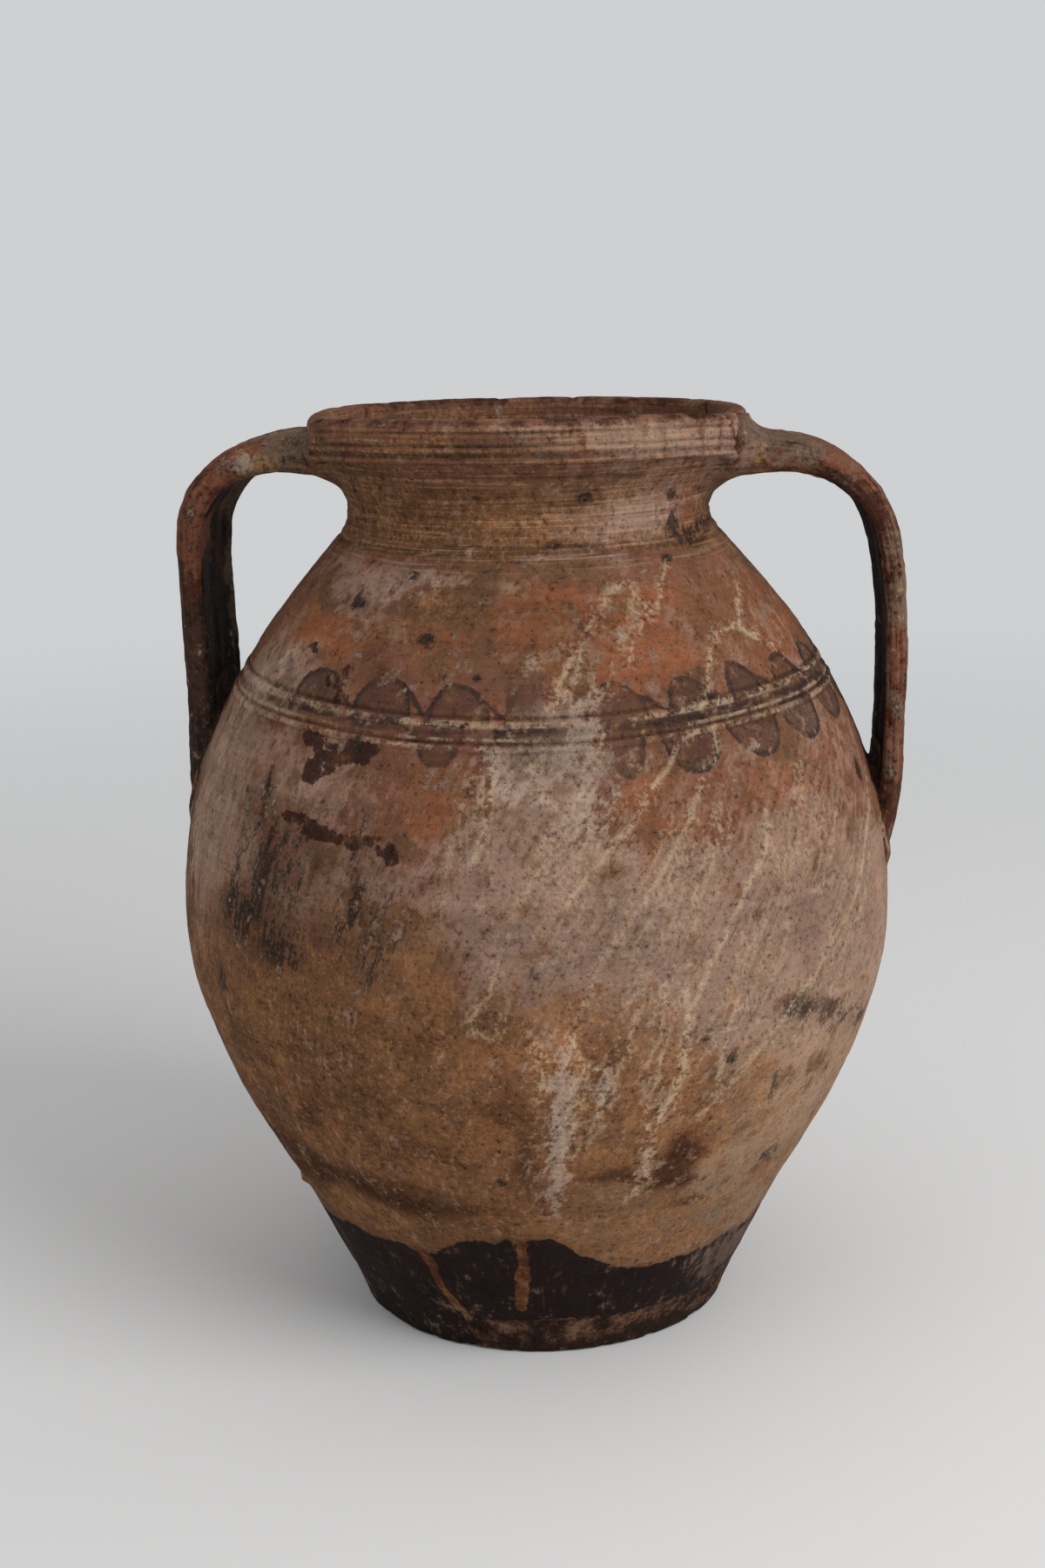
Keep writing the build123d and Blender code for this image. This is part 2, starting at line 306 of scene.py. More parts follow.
# Painted strokes: points as (turn, height), half width in mm, strength
PAINT_STROKES = (
    (((33.4, 329), (37.8, 327), (41.4, 321.8), (45.6, 318.6)), 1.9, 1),
    (((46.8, 331.6), (50.4, 330.4), (54.4, 324.6), (58.6, 319.2)), 1.5, 1),
    (((47.4, 331), (47.8, 325), (46.8, 319.4)), 1.5, 0.9),
    (((60.8, 331), (65, 328.6), (69, 322.6), (73, 319)), 1.8, 1),
    (((16.8, 330), (22.4, 329.6), (26, 324.4), (30.8, 319.2)), 1.5, 0.75),
    (((5, 331), (10.2, 326.6), (14, 319.4)), 1.2, 0.5),
    (((1.2, 335.5), (0.8, 328), (0.4, 319)), 0.9, 0.6),
    (((-50.8, 333), (-47.4, 326), (-45, 319)), 1.2, 0.5),
    (((18, 315.4), (34, 316.6), (50, 317.4), (72, 318), (96, 318), (140, 317.6), (170, 317.8)), 1.3, 0.7),
    (((21, 311.8), (40, 312.6), (66, 313.2), (90, 313.4)), 0.7, 0.5),
    (((-31, 315.6), (-18, 315), (-8, 314.6)), 1.3, 0.5),
    (((10.6, 376), (13, 366), (15.6, 356), (17, 349.5)), 1.4, 0.45),
    (((7, 369.5), (11.4, 366.4), (14.6, 362)), 2.4, 0.35),
)
# Dark red slip: points, half width, and whether the outline is filled
SPLASHES = (
    (((-37.8, 273.2), (-34.6, 273.6), (-30.6, 270.6), (-25.6, 269.2), (-19.6, 270.2)), 1.7, False),
    (((-33.4, 270.2), (-30.6, 267.4), (-26.6, 267)), 1.8, False),
    (((-24.6, 267.8), (-20.8, 268), (-18.8, 264.4), (-16.6, 261.4)), 2.1, False),
    (((-17.4, 266.4), (-16.2, 263.4)), 1.2, False),
    (((-35.2, 291.4), (-34.8, 298.4), (-33.6, 301.4), (-30.4, 302.8), (-28.4, 306.6), (-24, 307.6),
      (-22.2, 304.8), (-24.2, 300), (-28.2, 298.2), (-31, 293.6), (-33.6, 290.8)), 0.9, True),
    (((-37.6, 306.6), (-35, 303.8), (-33.6, 300.4)), 1.5, False),
    (((-38.4, 306.4), (-34, 307.2), (-31, 305.6)), 1.1, False),
    (((-34.2, 323.4), (-33, 329), (-34.4, 334)), 1.9, False),
    (((-37.4, 331), (-35.4, 327.4)), 1.2, False),
    (((-47.2, 340.4), (-44.6, 339)), 1.1, False),
    (((128, 262), (133, 264), (137, 261)), 1.9, False),
    (((-128, 300), (-124, 296), (-121, 299)), 2.1, False),
)
# Lime streaks: points and half width
STREAKS = (
    (((30.2, 370.4), (24, 365.6), (19, 355.3), (13.1, 341.1), (10.2, 333), (9, 322)), 1.1),
    (((28.4, 359.2), (29.6, 357.2), (31.8, 357.6), (32.8, 360), (31.6, 363), (29.4, 362.6),
      (28.4, 359.2)), 0.7),
    (((31, 363.2), (30.4, 371)), 0.7),
    (((44.1, 375), (37.9, 363.6), (31, 354.7), (26.6, 346), (24.6, 338)), 0.8),
    (((68.8, 366.6), (63.5, 358), (57.1, 347.8), (50.9, 346.6), (45.8, 342.9), (42.8, 335.1),
      (40.2, 327), (37.4, 318)), 1.2),
    (((56.6, 345.6), (62.2, 338.6), (65.6, 333.1)), 1.9),
    (((35.1, 309.8), (30.6, 307.2), (27.4, 295.6), (24.6, 290.3), (20, 276), (14.2, 260), (9.4, 246)), 1.1),
    (((38.1, 311), (37.5, 299.9), (34, 292.5), (30, 276), (25.6, 262), (20.4, 241.4), (14, 220)), 1),
    (((44.4, 273), (43.6, 261.2), (38.9, 246), (35.1, 232.5), (31, 214), (27.6, 196)), 1.3),
    (((80, 266), (70.4, 245.6), (64.3, 226.1), (55.7, 208.2)), 1.1),
    (((54, 203), (47, 188), (38.4, 161), (31, 139)), 0.9),
    (((-1.2, 293.7), (-3, 270.5), (-4.7, 261.7)), 1.1),
    (((-1, 306), (-1.6, 292)), 1.6),
    (((-0.4, 222), (-2.2, 205), (-4.6, 196), (-4, 188)), 0.9),
    (((9.4, 190), (11, 176), (9.6, 160), (8.6, 145), (8.2, 128), (7.2, 108)), 0.8),
    (((11.2, 174), (14.6, 171), (15.6, 165), (14.4, 152), (12.8, 139)), 0.7),
    (((12.6, 162), (10.8, 150), (9.6, 140)), 0.7),
    (((-3.2, 203), (-4, 192), (-1.6, 186), (0.4, 197), (1, 206)), 0.6),
    (((5, 186), (5.6, 168), (4.6, 158)), 0.8),
    (((26.6, 206), (27, 184), (26.4, 160), (23.4, 140), (22.8, 120), (24, 108), (20.6, 97)), 1.7),
    (((33.8, 168), (33.4, 150)), 1),
    (((36, 200), (33.6, 176), (33, 158)), 0.8),
    (((5.2, 305), (4.8, 292), (8.4, 284)), 1.5),
    (((17, 312), (15, 300), (12.4, 288), (8, 276), (4.2, 262)), 1),
    (((58.4, 236), (52.8, 234.6)), 1.6),
    (((-53.4, 338), (-57, 327), (-60, 318)), 1.4),
    (((120, 360), (116, 340), (112, 318), (104, 280), (98, 240)), 1.4),
    (((150, 300), (148, 262), (144, 220), (143, 180)), 1.6),
    (((-150, 322), (-152, 290), (-149, 250), (-150, 205)), 1.4),
    (((-112, 250), (-110, 215), (-112, 170), (-111, 130)), 1.8),
    (((170, 170), (172, 140), (171, 100)), 2.4),
)
# Sheaves of thin streaks: first line, last line (each start and end), count
SHEAVES = (
    (((12, 290), (-4, 222)), ((20, 276), (10, 216)), 12),
    (((30, 290), (10, 200)), ((40, 292), (22, 186)), 14),
    (((44, 262), (24, 146)), ((52, 258), (36, 164)), 11),
    (((13, 345), (5, 316)), ((23, 344), (16, 320)), 4),
    (((26, 372), (17, 340)), ((40, 374), (27, 340)), 4),
    (((-7, 300), (-9, 232)), ((-1, 300), (-3, 236)), 5),
    (((66, 250), (40, 158)), ((74, 246), (52, 172)), 8),
    (((56, 300), (44, 240)), ((66, 290), (54, 236)), 6),
    (((20, 220), (14, 150)), ((34, 214), (28, 140)), 8),
    (((125, 300), (118, 210)), ((138, 300), (130, 205)), 8),
    (((-140, 300), (-146, 210)), ((-128, 300), (-132, 215)), 8),
    (((160, 240), (156, 150)), ((178, 250), (172, 160)), 8),
)
# Top edge and lower edge of the glaze: turn and height
GLAZE_TOP = (
    (-180, 60), (-165, 66), (-150, 58), (-128, 62), (-110, 72), (-95, 60), (-80, 56), (-66, 58),
    (-45.3, 61.7), (-37, 61), (-30, 62.4), (-25, 60), (-20, 61), (-16.5, 68), (-12.5, 72.6), (-9, 73.8),
    (-5, 72.2), (-2.6, 76), (0, 70), (2.6, 75.2), (6.6, 75.4), (9.6, 71), (12.6, 63.6), (18.3, 56.8),
    (24, 52.6), (29.4, 49.8), (38, 50.6), (47, 50.6), (57, 54.6), (65, 50.6), (84, 54), (100, 66),
    (116, 59), (135, 64), (158, 56), (180, 60),
)
GLAZE_BOTTOM = (
    (-180, 20), (-130, 18), (-80, 2), (-26, -2), (-16.5, -2), (-13, 20), (60, 20), (120, 22), (180, 20),
)
# Runs of bare clay that part the glaze: points and half width
CLAY_RUNS = (
    (((-25.4, 78), (-24.2, 64), (-22.6, 52)), 3.2),
    (((-23.4, 58), (-21.9, 38), (-17.4, 21), (-14.8, 4)), 2.1),
    (((0.6, 86), (0.6, 66), (0, 48)), 2.2),
    (((0.2, 52), (-0.6, 36), (-0.8, 31)), 3.1),
    (((103, 80), (102, 60), (104, 30)), 2.6),
    (((-136, 78), (-135, 56), (-138, 26)), 2.8),
    (((171, 76), (172, 52), (170, 36)), 2.2),
)
# Broad fields of bare warm clay, film, crust, worn tan, rusty rings and salt bloom: turn, height,
# half width and half height in mm, amount
WARM = (
    (38, 354, 60, 20, 1), (63, 347, 44, 24, 0.95), (8, 360, 22, 18, 0.9), (19, 343, 26, 12, 0.8),
    (76, 326, 34, 30, 0.6), (30, 330, 50, 10, 0.6), (-49, 353, 24, 13, 0.85), (-34, 345, 24, 13, 0.7),
    (-62, 344, 22, 15, 0.6), (-12, 343, 22, 12, 0.55), (-9, 294, 24, 12, 1), (-13, 279, 20, 13, 0.75),
    (22, 286, 26, 14, 0.7), (38, 273, 46, 24, 0.5), (60, 284, 44, 24, 0.38), (56, 246, 48, 26, 0.4),
    (20, 252, 26, 20, 0.35), (5, 264, 16, 12, 0.5), (80, 286, 34, 30, 0.45), (110, 350, 50, 26, 0.8),
    (150, 345, 52, 24, 0.7), (-120, 350, 52, 22, 0.6), (-160, 342, 52, 24, 0.7), (128, 272, 60, 34, 0.6),
    (-105, 282, 52, 30, 0.5), (172, 280, 60, 26, 0.5), (60.5, 397, 9, 9, 1.5), (-16, 150, 60, 36, 0.3),
    (-46, 120, 40, 40, 0.25), (36, 84, 20, 8, 0.7),
)
FILM = (
    (-42, 371, 44, 9, 0.9), (-34, 362, 24, 13, 0.6), (-57, 330, 26, 18, 0.8), (-62, 290, 40, 44, 0.85),
    (-52, 244, 56, 44, 0.7), (-20, 244, 44, 30, 0.5), (-30, 292, 30, 16, 0.55), (8, 284, 22, 17, 0.75),
    (8, 301, 26, 12, 1), (11, 318, 14, 11, 1), (0, 250, 30, 26, 0.85), (15, 262, 20, 18, 0.65),
    (10, 228, 56, 22, 0.7), (40, 214, 66, 26, 0.8), (12, 198, 10, 24, 0.5), (23, 178, 12, 28, 0.6),
    (35, 180, 10, 30, 0.4), (-3, 204, 7, 20, 0.5), (-22, 216, 12, 18, 0.5), (72, 214, 60, 40, 0.85),
    (34, 396, 30, 14, 1.1), (12, 398, 16, 10, 0.4), (16, 346, 9, 7, 0.7), (80, 170, 56, 44, 0.7),
    (30, 186, 40, 20, 0.6), (50, 186, 40, 26, 0.4), (62, 126, 16, 14, 0.5), (120, 226, 84, 56, 0.6),
    (176, 250, 84, 60, 0.6), (-122, 236, 84, 56, 0.65), (-85, 180, 60, 50, 0.6), (-165, 210, 60, 40, 0.5),
    (-8, 372, 30, 7, 0.4), (38, 430, 44, 14, 0.9), (-64, 430, 20, 14, 0.5), (4, 437, 20, 4, 0.5),
    # The first blot of this line lies on the glaze at the right: partly film, partly a painted sheen
    (60, 42, 34, 16, 1.7), (48, 262, 60, 40, 0.35), (26, 236, 40, 22, 0.4), (46, 262, 30, 14, 0.35),
    (8, 208, 20, 10, 0.3), (34, 250, 24, 14, 0.3), (36, 136, 26, 18, 0.35), (-60, 190, 26, 22, 0.3),
    (16, 134, 26, 18, 0.35), (13, 190, 30, 16, 0.4), (74, 338, 26, 26, 0.5), (70, 296, 40, 34, 0.3),
    (70, 420, 20, 20, 0.6), (60, 306, 50, 12, 0.2), (140, 370, 60, 10, 0.6), (-130, 372, 60, 10, 0.6),
)
CRUST = (
    (-30, 399, 58, 17, 1), (-4, 400, 32, 15, 0.75), (62, 386, 34, 6, 0.7), (-62, 395, 40, 20, 1),
    (-18, 182, 86, 34, 0.8), (0, 140, 90, 46, 1), (-46, 130, 78, 60, 1), (27, 140, 56, 36, 0.45),
    (-56, 200, 56, 36, 0.5), (14, 190, 46, 18, 0.3), (-14, 356, 20, 14, 0.7), (0, 84, 160, 12, 0.8),
    (-100, 130, 90, 60, 0.8), (-150, 140, 90, 56, 0.7), (160, 120, 90, 56, 0.7), (110, 110, 70, 50, 0.5),
    (150, 398, 80, 16, 0.8), (-130, 398, 80, 16, 0.9), (90, 398, 40, 16, 0.6), (-22, 228, 34, 18, 0.5),
    (13, 338, 12, 10, 0.6), (17, 330, 12, 6, 0.5), (-32, 428, 50, 9, 0.5), (4, 428, 30, 9, 0.25),
    (-80, 428, 30, 12, 0.5), (20, 66, 70, 12, 0.7), (14, 345, 14, 14, 0.4), (24, 362, 12, 10, 0.35),
)
TAN = (
    (58, 132, 62, 44, 1), (64, 98, 56, 28, 1), (42, 172, 40, 26, 0.7), (30, 78, 60, 12, 0.9),
    (14, 98, 30, 20, 0.5), (20, 132, 26, 24, 0.5), (30, 64, 60, 12, 1), (62, 66, 40, 16, 1),
    (-24, 84, 30, 5, 0.6), (74, 190, 40, 40, 0.6), (44, 110, 30, 24, 0.6), (-14, 106, 22, 12, 0.35),
    (86, 140, 50, 50, 0.8), (10, 84, 16, 16, 0.4), (140, 150, 60, 40, 0.5), (-60, 150, 36, 40, 0.3),
)
DARK = (
    (-10, 184, 26, 8, 0.35), (-17, 134, 14, 12, 0.35), (-2, 142, 10, 12, 0.3), (-52, 106, 18, 14, 0.4),
    (31, 105, 7, 5, 0.6), (16, 170, 5, 6, 0.7), (-14, 236, 20, 10, 0.35), (-21, 188, 16, 8, 0.3),
    (-22, 94, 36, 9, 1), (-44, 98, 34, 14, 0.7), (28, 118, 12, 12, 1.7), (27, 111, 20, 9, 0.5),
    (15, 110, 20, 5, 0.8), (37, 94, 14, 7, 0.7), (33, 126, 14, 7, 0.6), (-12, 122, 16, 8, 0.4),
    (-38, 140, 12, 12, 0.6), (2, 150, 12, 34, 0.4), (-1, 118, 6, 20, 0.5), (-60, 104, 40, 30, 0.6),
    (56, 146, 18, 10, 0.5), (170, 96, 50, 12, 0.8), (-120, 100, 46, 16, 0.8), (110, 100, 30, 14, 0.6),
    (-24, 340, 12, 8, 0.4), (-46, 163, 20, 6, 0.5), (8, 387, 60, 2.5, 0.5), (70, 388, 24, 3, 0.8),
)
BLOOM = (
    (8, 300, 22, 9, 0.75), (12, 284, 16, 14, 0.35), (14, 309, 12, 8, 1), (2, 292, 14, 7, 0.8),
    (15, 322, 7, 10, 0.9), (9, 325, 7, 7, 0.7), (16, 286, 10, 9, 0.6), (0, 305, 8, 5, 0.7),
    (13, 276, 10, 12, 0.45), (-58, 322, 12, 9, 0.8), (-61, 311, 10, 6, 0.7), (-54, 331, 8, 6, 0.6),
    (-20, 371, 10, 6, 0.6), (-32, 366, 12, 8, 0.55), (13, 345, 5, 5, 0.6), (25, 350, 9, 5, 0.4),
    (62, 346, 10, 4, 0.5), (67, 336, 7, 5, 0.6), (5, 340, 5, 6, 0.5), (9, 168, 8, 18, 0.85),
    (8, 134, 6, 30, 1.6), (6, 98, 8, 12, 0.8), (14, 160, 6, 10, 0.6), (23, 140, 5, 26, 0.8),
    (22, 108, 6, 10, 0.6), (27, 178, 4, 22, 0.6), (44, 268, 6, 5, 0.5), (52, 234, 8, 3, 0.7),
    (72, 250, 8, 6, 0.6), (80, 318, 10, 4, 0.5), (-52, 274, 22, 20, 0.35), (-60, 250, 20, 24, 0.3),
    (-35, 286, 14, 12, 0.3), (-3, 270, 5, 16, 0.3), (20, 196, 16, 6, 0.3), (118, 340, 12, 14, 0.5),
    (112, 300, 16, 16, 0.5), (146, 250, 16, 30, 0.4), (172, 130, 10, 30, 0.6), (-150, 280, 16, 30, 0.5),
    (-111, 180, 12, 36, 0.5), (-90, 240, 26, 26, 0.35), (-170, 320, 12, 10, 0.5), (33, 398, 16, 6, 0.35),
    (20, 390, 20, 4, 0.25), (47, 301, 7, 5, 0.6), (61, 303, 6, 4, 0.35), (-66, 250, 22, 60, 0.45),
    (-63, 300, 18, 24, 0.3), (15, 160, 4, 16, 0.6), (78, 200, 14, 40, 0.4), (2, 196, 6, 12, 0.35),
    (-2, 300, 4, 6, 0.5), (36, 430, 26, 8, 0.25),
)
# Parts lighter or darker than the rest, in the same way
LIGHT = (
    (52, 354, 30, 16, 0.1), (5, 360, 34, 16, -0.2), (-54, 346, 36, 22, 0.26), (14, 188, 36, 18, 0.26),
    (18, 130, 30, 20, 0.2), (37, 240, 30, 22, 0.14), (38, 138, 26, 18, 0.12), (66, 280, 40, 28, 0.13),
    (-36, 284, 22, 16, 0.1), (12, 280, 22, 16, 0.08), (0, 399, 24, 10, 0.1), (0, 440, 20, 4, 0.12),
    (72, 118, 16, 30, 0.12), (30, 398, 34, 14, 0.16), (42, 432, 34, 10, 0.18), (9, 433, 16, 6, -0.08),
    (8, 440, 24, 4, 0.16), (-62, 256, 30, 50, 0.16), (-38, 248, 14, 26, -0.06), (76, 200, 34, 60, 0.18),
    (2, 168, 30, 26, 0.4), (50, 148, 50, 40, 0.26), (60, 146, 24, 20, 0.14), (30, 84, 40, 14, 0.1),
    (40, 8, 30, 8, 0.2), (-24, 94, 24, 12, -0.1), (10, 300, 20, 12, -0.1), (-8, 398, 44, 16, 0.08),
    (-36, 432, 30, 8, 0.06), (-38, 292, 20, 14, 0.14), (74, 186, 24, 30, 0.08), (7, 124, 8, 14, 0.12),
    (21, 300, 8, 8, 0.12), (2, 262, 34, 22, 0.1), (54, 112, 40, 26, 0.14), (-14, 158, 24, 16, 0.12),
    (-20, 190, 30, 20, 0.06), (46, 246, 24, 16, -0.05), (47, 301, 14, 9, 0.1), (4, 323, 14, 8, -0.12),
    (34, 324, 12, 8, -0.14),
)
# Sooty places, in the same way
SOOT = (
    (-40, 256, 11, 24, 1), (-43.5, 226, 15, 13, 0.8), (-37, 214, 14, 9, 0.9), (-22.4, 258, 4, 20, 0.9),
    (-22, 232, 14, 12, 0.7), (-52.5, 190, 7, 8, 0.8), (-44, 280, 4, 15, 0.6), (64, 166, 20, 8, 0.8),
    (72, 158, 12, 6, 0.8), (46, 145, 3.5, 10, 0.8), (41, 124, 12, 5, 0.35), (47, 186, 14, 8, 0.6),
    (53, 100, 15, 7, 0.7), (50, 180, 14, 9, 0.7), (-18, 348.4, 6, 4, 1.3), (-38.8, 360.2, 5, 4, 1.2),
    (-40.4, 365, 2.4, 4, 1), (-26.2, 373.3, 4, 2.4, 1.3), (21.4, 405, 7, 2.8, 1.2), (15.2, 386, 8, 3, 0.7),
    (54, 392, 3, 9, 0.8), (57, 384, 12, 4, 0.8), (67, 396, 3, 8, 0.6), (35.1, 167.6, 4, 4, 1.2),
    (31.7, 161.9, 3, 3, 1), (75.8, 273.2, 4, 6, 1.6), (-25.6, 306, 5, 5, 1), (45.5, 377, 4, 1.8, 1.1),
    (-5, 335, 3, 2, 1.1), (-2.2, 254.4, 1.2, 5, 1.4), (-43.8, 286.4, 1.6, 5, 1.2),
    (-1.9, 112.1, 2.4, 2.4, 1.2), (-33, 266, 12, 7, 0.3), (-24, 216, 30, 12, 0.4), (-14, 232, 16, 14, 0.3),
    (-50, 226, 10, 18, 0.5), (-34, 238, 6, 22, 0.6), (-47.5, 262, 5, 22, 0.6), (-22.6, 242, 3, 10, 0.7),
    (0, 385.4, 90, 1.6, 0.5), (57, 176, 10, 6, 0.7), (70, 404, 8, 2.4, 0.8), (53, 404, 5, 2.4, 0.9),
    (52, 390, 6, 3, 0.9), (76, 388, 22, 2.4, 1), (-100, 220, 16, 20, 0.9), (-118, 190, 22, 16, 0.8),
    (150, 180, 24, 14, 0.8), (176, 330, 7, 5, 1), (-160, 240, 10, 20, 0.8), (105, 300, 5, 12, 0.8),
    (-75, 250, 12, 26, 0.7), (-70, 160, 16, 12, 0.6),
)
# Heights at which the scallops over and under the band start
SCALLOP_FEET = (316.0, 315.4)
# Washed streaks: where they slant most, their slant in degrees for each mm, and where they run upright
STREAK_TURN, STREAK_SLANT, STREAK_LEVEL = 62, 0.27, 300
# Smear in mm that leaves a full coat of ash, and the height above which it does
FULL_SMEAR, ASH_FOOT = 6.0, 370
# Radius under which marks aren't drawn out any further
LEAST_RADIUS = 60


def polar(points):
    """Turn in degrees, height and radius of points in mm."""
    x, y, height = points.T
    return np.degrees(np.arctan2(x, -y)), height, np.hypot(x, y)


def from_polar(turn, height, radius):
    """Points in mm for turns in degrees, heights and radii."""
    angle = np.radians(turn)
    return np.stack([radius * np.sin(angle), -radius * np.cos(angle), height], 1)


def turned(points, azimuth):
    """Points turned about Z by an angle in degrees."""
    angle = np.radians(azimuth)
    c, s = np.cos(angle), np.sin(angle)
    x, y, height = points.T
    return np.stack([x * c - y * s, x * s + y * c, height], 1)


def wrapped(turn):
    """The same turn from -180 to 180 degrees."""
    return (turn + 180) % 360 - 180


def round_jar(table, turn):
    """A value that changes round the jar, from (turn, value) pairs."""
    return np.interp(wrapped(turn), *np.array(table, float).T)


def coordinates(mesh):
    """Vertex places in mm."""
    flat = np.zeros(len(mesh.vertices) * 3)
    mesh.vertices.foreach_get("co", flat)
    return flat.reshape(-1, 3) / MM


def move_to(mesh, points):
    """Moves the vertices to places in mm."""
    mesh.vertices.foreach_set("co", (points * MM).astype(np.float32).ravel())
    mesh.update()


class Places:
    """Places on the wall: turn in degrees, outer radius and way along the wall in mm."""

    def __init__(self, turn, height):
        self.turn = turn
        self.radius = radius_at(height)
        self.run = run_at(height)

    def near(self, centre, wide, high):
        """Which places lie near a centre, and their ways from it across and along the wall."""
        away = wrapped(self.turn - centre[0])
        level = float(run_at(centre[1]))
        chosen = np.flatnonzero(
            (np.abs(away) * self.radius < np.degrees(wide)) & (np.abs(self.run - level) < high)
        )
        return chosen, np.radians(away[chosen]) * self.radius[chosen], self.run[chosen] - level


def way_off(x, y, px, py, filled=False):
    """Distance from places to a line of points, less than 0 inside a filled outline."""
    best = np.full(x.shape, 1e9)
    inner = np.zeros(x.shape, bool)
    count = len(px)
    for i in range(count if filled else count - 1):
        j = (i + 1) % count
        dx, dy = px[j] - px[i], py[j] - py[i]
        t = np.clip(((x - px[i]) * dx + (y - py[i]) * dy) / (dx * dx + dy * dy + 1e-9), 0, 1)
        best = np.minimum(best, np.hypot(x - px[i] - t * dx, y - py[i] - t * dy))
        if filled:
            crosses = (py[i] > y) != (py[j] > y)
            inner ^= crosses & (x < dx * (y - py[i]) / (dy + 1e-9) + px[i])
    return np.where(inner, -best, best)


def nearest(places, marks, far=6.0):
    """Distance in mm to the nearest mark, less than 0 inside it, and that mark's strength."""
    field = np.full(places.turn.shape, far)
    strength = np.zeros(places.turn.shape)
    for points, half, power, filled in marks:
        points = np.array(points, float)
        centre = points.mean(0)
        away = wrapped(points[:, 0] - centre[0])
        px = np.radians(away) * radius_at(points[:, 1])
        py = run_at(points[:, 1]) - run_at(centre[1])
        reach = far + half
        chosen, x, y = places.near(centre, np.abs(px).max() + reach, np.abs(py).max() + reach)
        apart = way_off(x, y, px, py, filled) - half
        closer = apart < field[chosen]
        field[chosen[closer]] = apart[closer]
        strength[chosen[closer]] = power
    return field, strength


def fields(places, blots):
    """Sum of soft blots on the wall."""
    total = np.zeros(places.turn.shape)
    for middle, level, wide, high, amount in blots:
        chosen, x, y = places.near((middle, level), wide * 2.6, high * 2.6)
        total[chosen] += amount * np.exp(-(x / wide) ** 2 - (y / high) ** 2)
    return total


def scallop(middle, half, base, tip, lean):
    """Outline of one painted scallop, from the band to its tip."""
    angles = np.linspace(0, pi, 15)
    pairs = zip(np.cos(angles), np.sin(angles) ** 0.85)
    return [(middle + half * (x + lean * rise * 0.4), base + (tip - base) * rise) for x, rise in pairs]


def paint_marks():
    """Every painted mark as (points, half width, strength, filled)."""
    marks = []
    for table, base, side in zip((SCALLOPS_UP, SCALLOPS_DOWN), SCALLOP_FEET, (-1, 1)):
        for middle, half, tip, lean, strength in table:
            marks.append((scallop(middle, half, base, tip, side * lean), 0.2, strength, True))
    marks += [(points, half, strength, False) for points, half, strength in PAINT_STROKES]
    # A brushed tail from each upper scallop to the band, where no drawn stroke makes one
    for middle, half, tip, lean, strength in SCALLOPS_UP:
        if middle < 0 or middle > 70:
            tail = (
                (middle + half * 0.45, tip - 3.4), (middle + half * 0.95, tip - 8.0),
                (middle + half * 1.3, 320.6), (middle + half * 1.8, 318.4),
            )
            marks.append((tail, 1.1 + lean, strength * 0.9, False))
    return marks


def streak_marks():
    """Every lime streak, the sheaves of thin ones included."""
    marks = [(points, half, 1.0, False) for points, half in STREAKS]
    chance = np.random.RandomState(5)
    for first, last, count in SHEAVES:
        for n in range(count):
            share = (n + chance.uniform(-0.4, 0.4)) / max(count - 1, 1)
            a = np.array(first[0]) * (1 - share) + np.array(last[0]) * share
            b = np.array(first[1]) * (1 - share) + np.array(last[1]) * share
            start, end = sorted(chance.uniform(0, 1, 2))
            a, b = a + (b - a) * start * 0.6, b + (a - b) * (1 - end) * 0.6
            bend = (a + b) / 2 + chance.uniform(-1.2, 1.2, 2)
            marks.append(((tuple(a), tuple(bend), tuple(b)), chance.uniform(0.2, 0.75), 0.7, False))
    return marks


PAINT_MARKS = paint_marks()
STREAK_MARKS = streak_marks()
SPLASH_MARKS = [(points, half, 1.0, filled) for points, half, filled in SPLASHES]
RUN_MARKS = [(points, half, 1.0, False) for points, half in CLAY_RUNS]


def store(mesh, name, *parts):
    """Keeps up to three numbers for each vertex, for the materials to read."""
    values = np.zeros((len(mesh.vertices), 3), np.float32)
    for i, part in enumerate(parts):
        values[:, i] = part
    mesh.attributes.new(name, "FLOAT_VECTOR", "POINT").data.foreach_set("vector", values.ravel())


def flowed(points, turn, height, twist):
    """Places turned about Z so that the washed streaks of the wall run straight up and down."""
    side = np.cos(np.radians(turn - STREAK_TURN))
    lean = twist * STREAK_SLANT * (0.45 + 0.75 * side) * np.clip(height - STREAK_LEVEL, -190, 90)
    return turned(points, -lean)


def strayed(turn, height, stray, wide, high):
    """Places moved across and along the wall by noise, so that no edge is too true."""
    radius = np.maximum(radius_at(height), LEAST_RADIUS)
    return Places(turn + np.degrees(stray[:, 0] * wide / radius), height + stray[:, 1] * high)


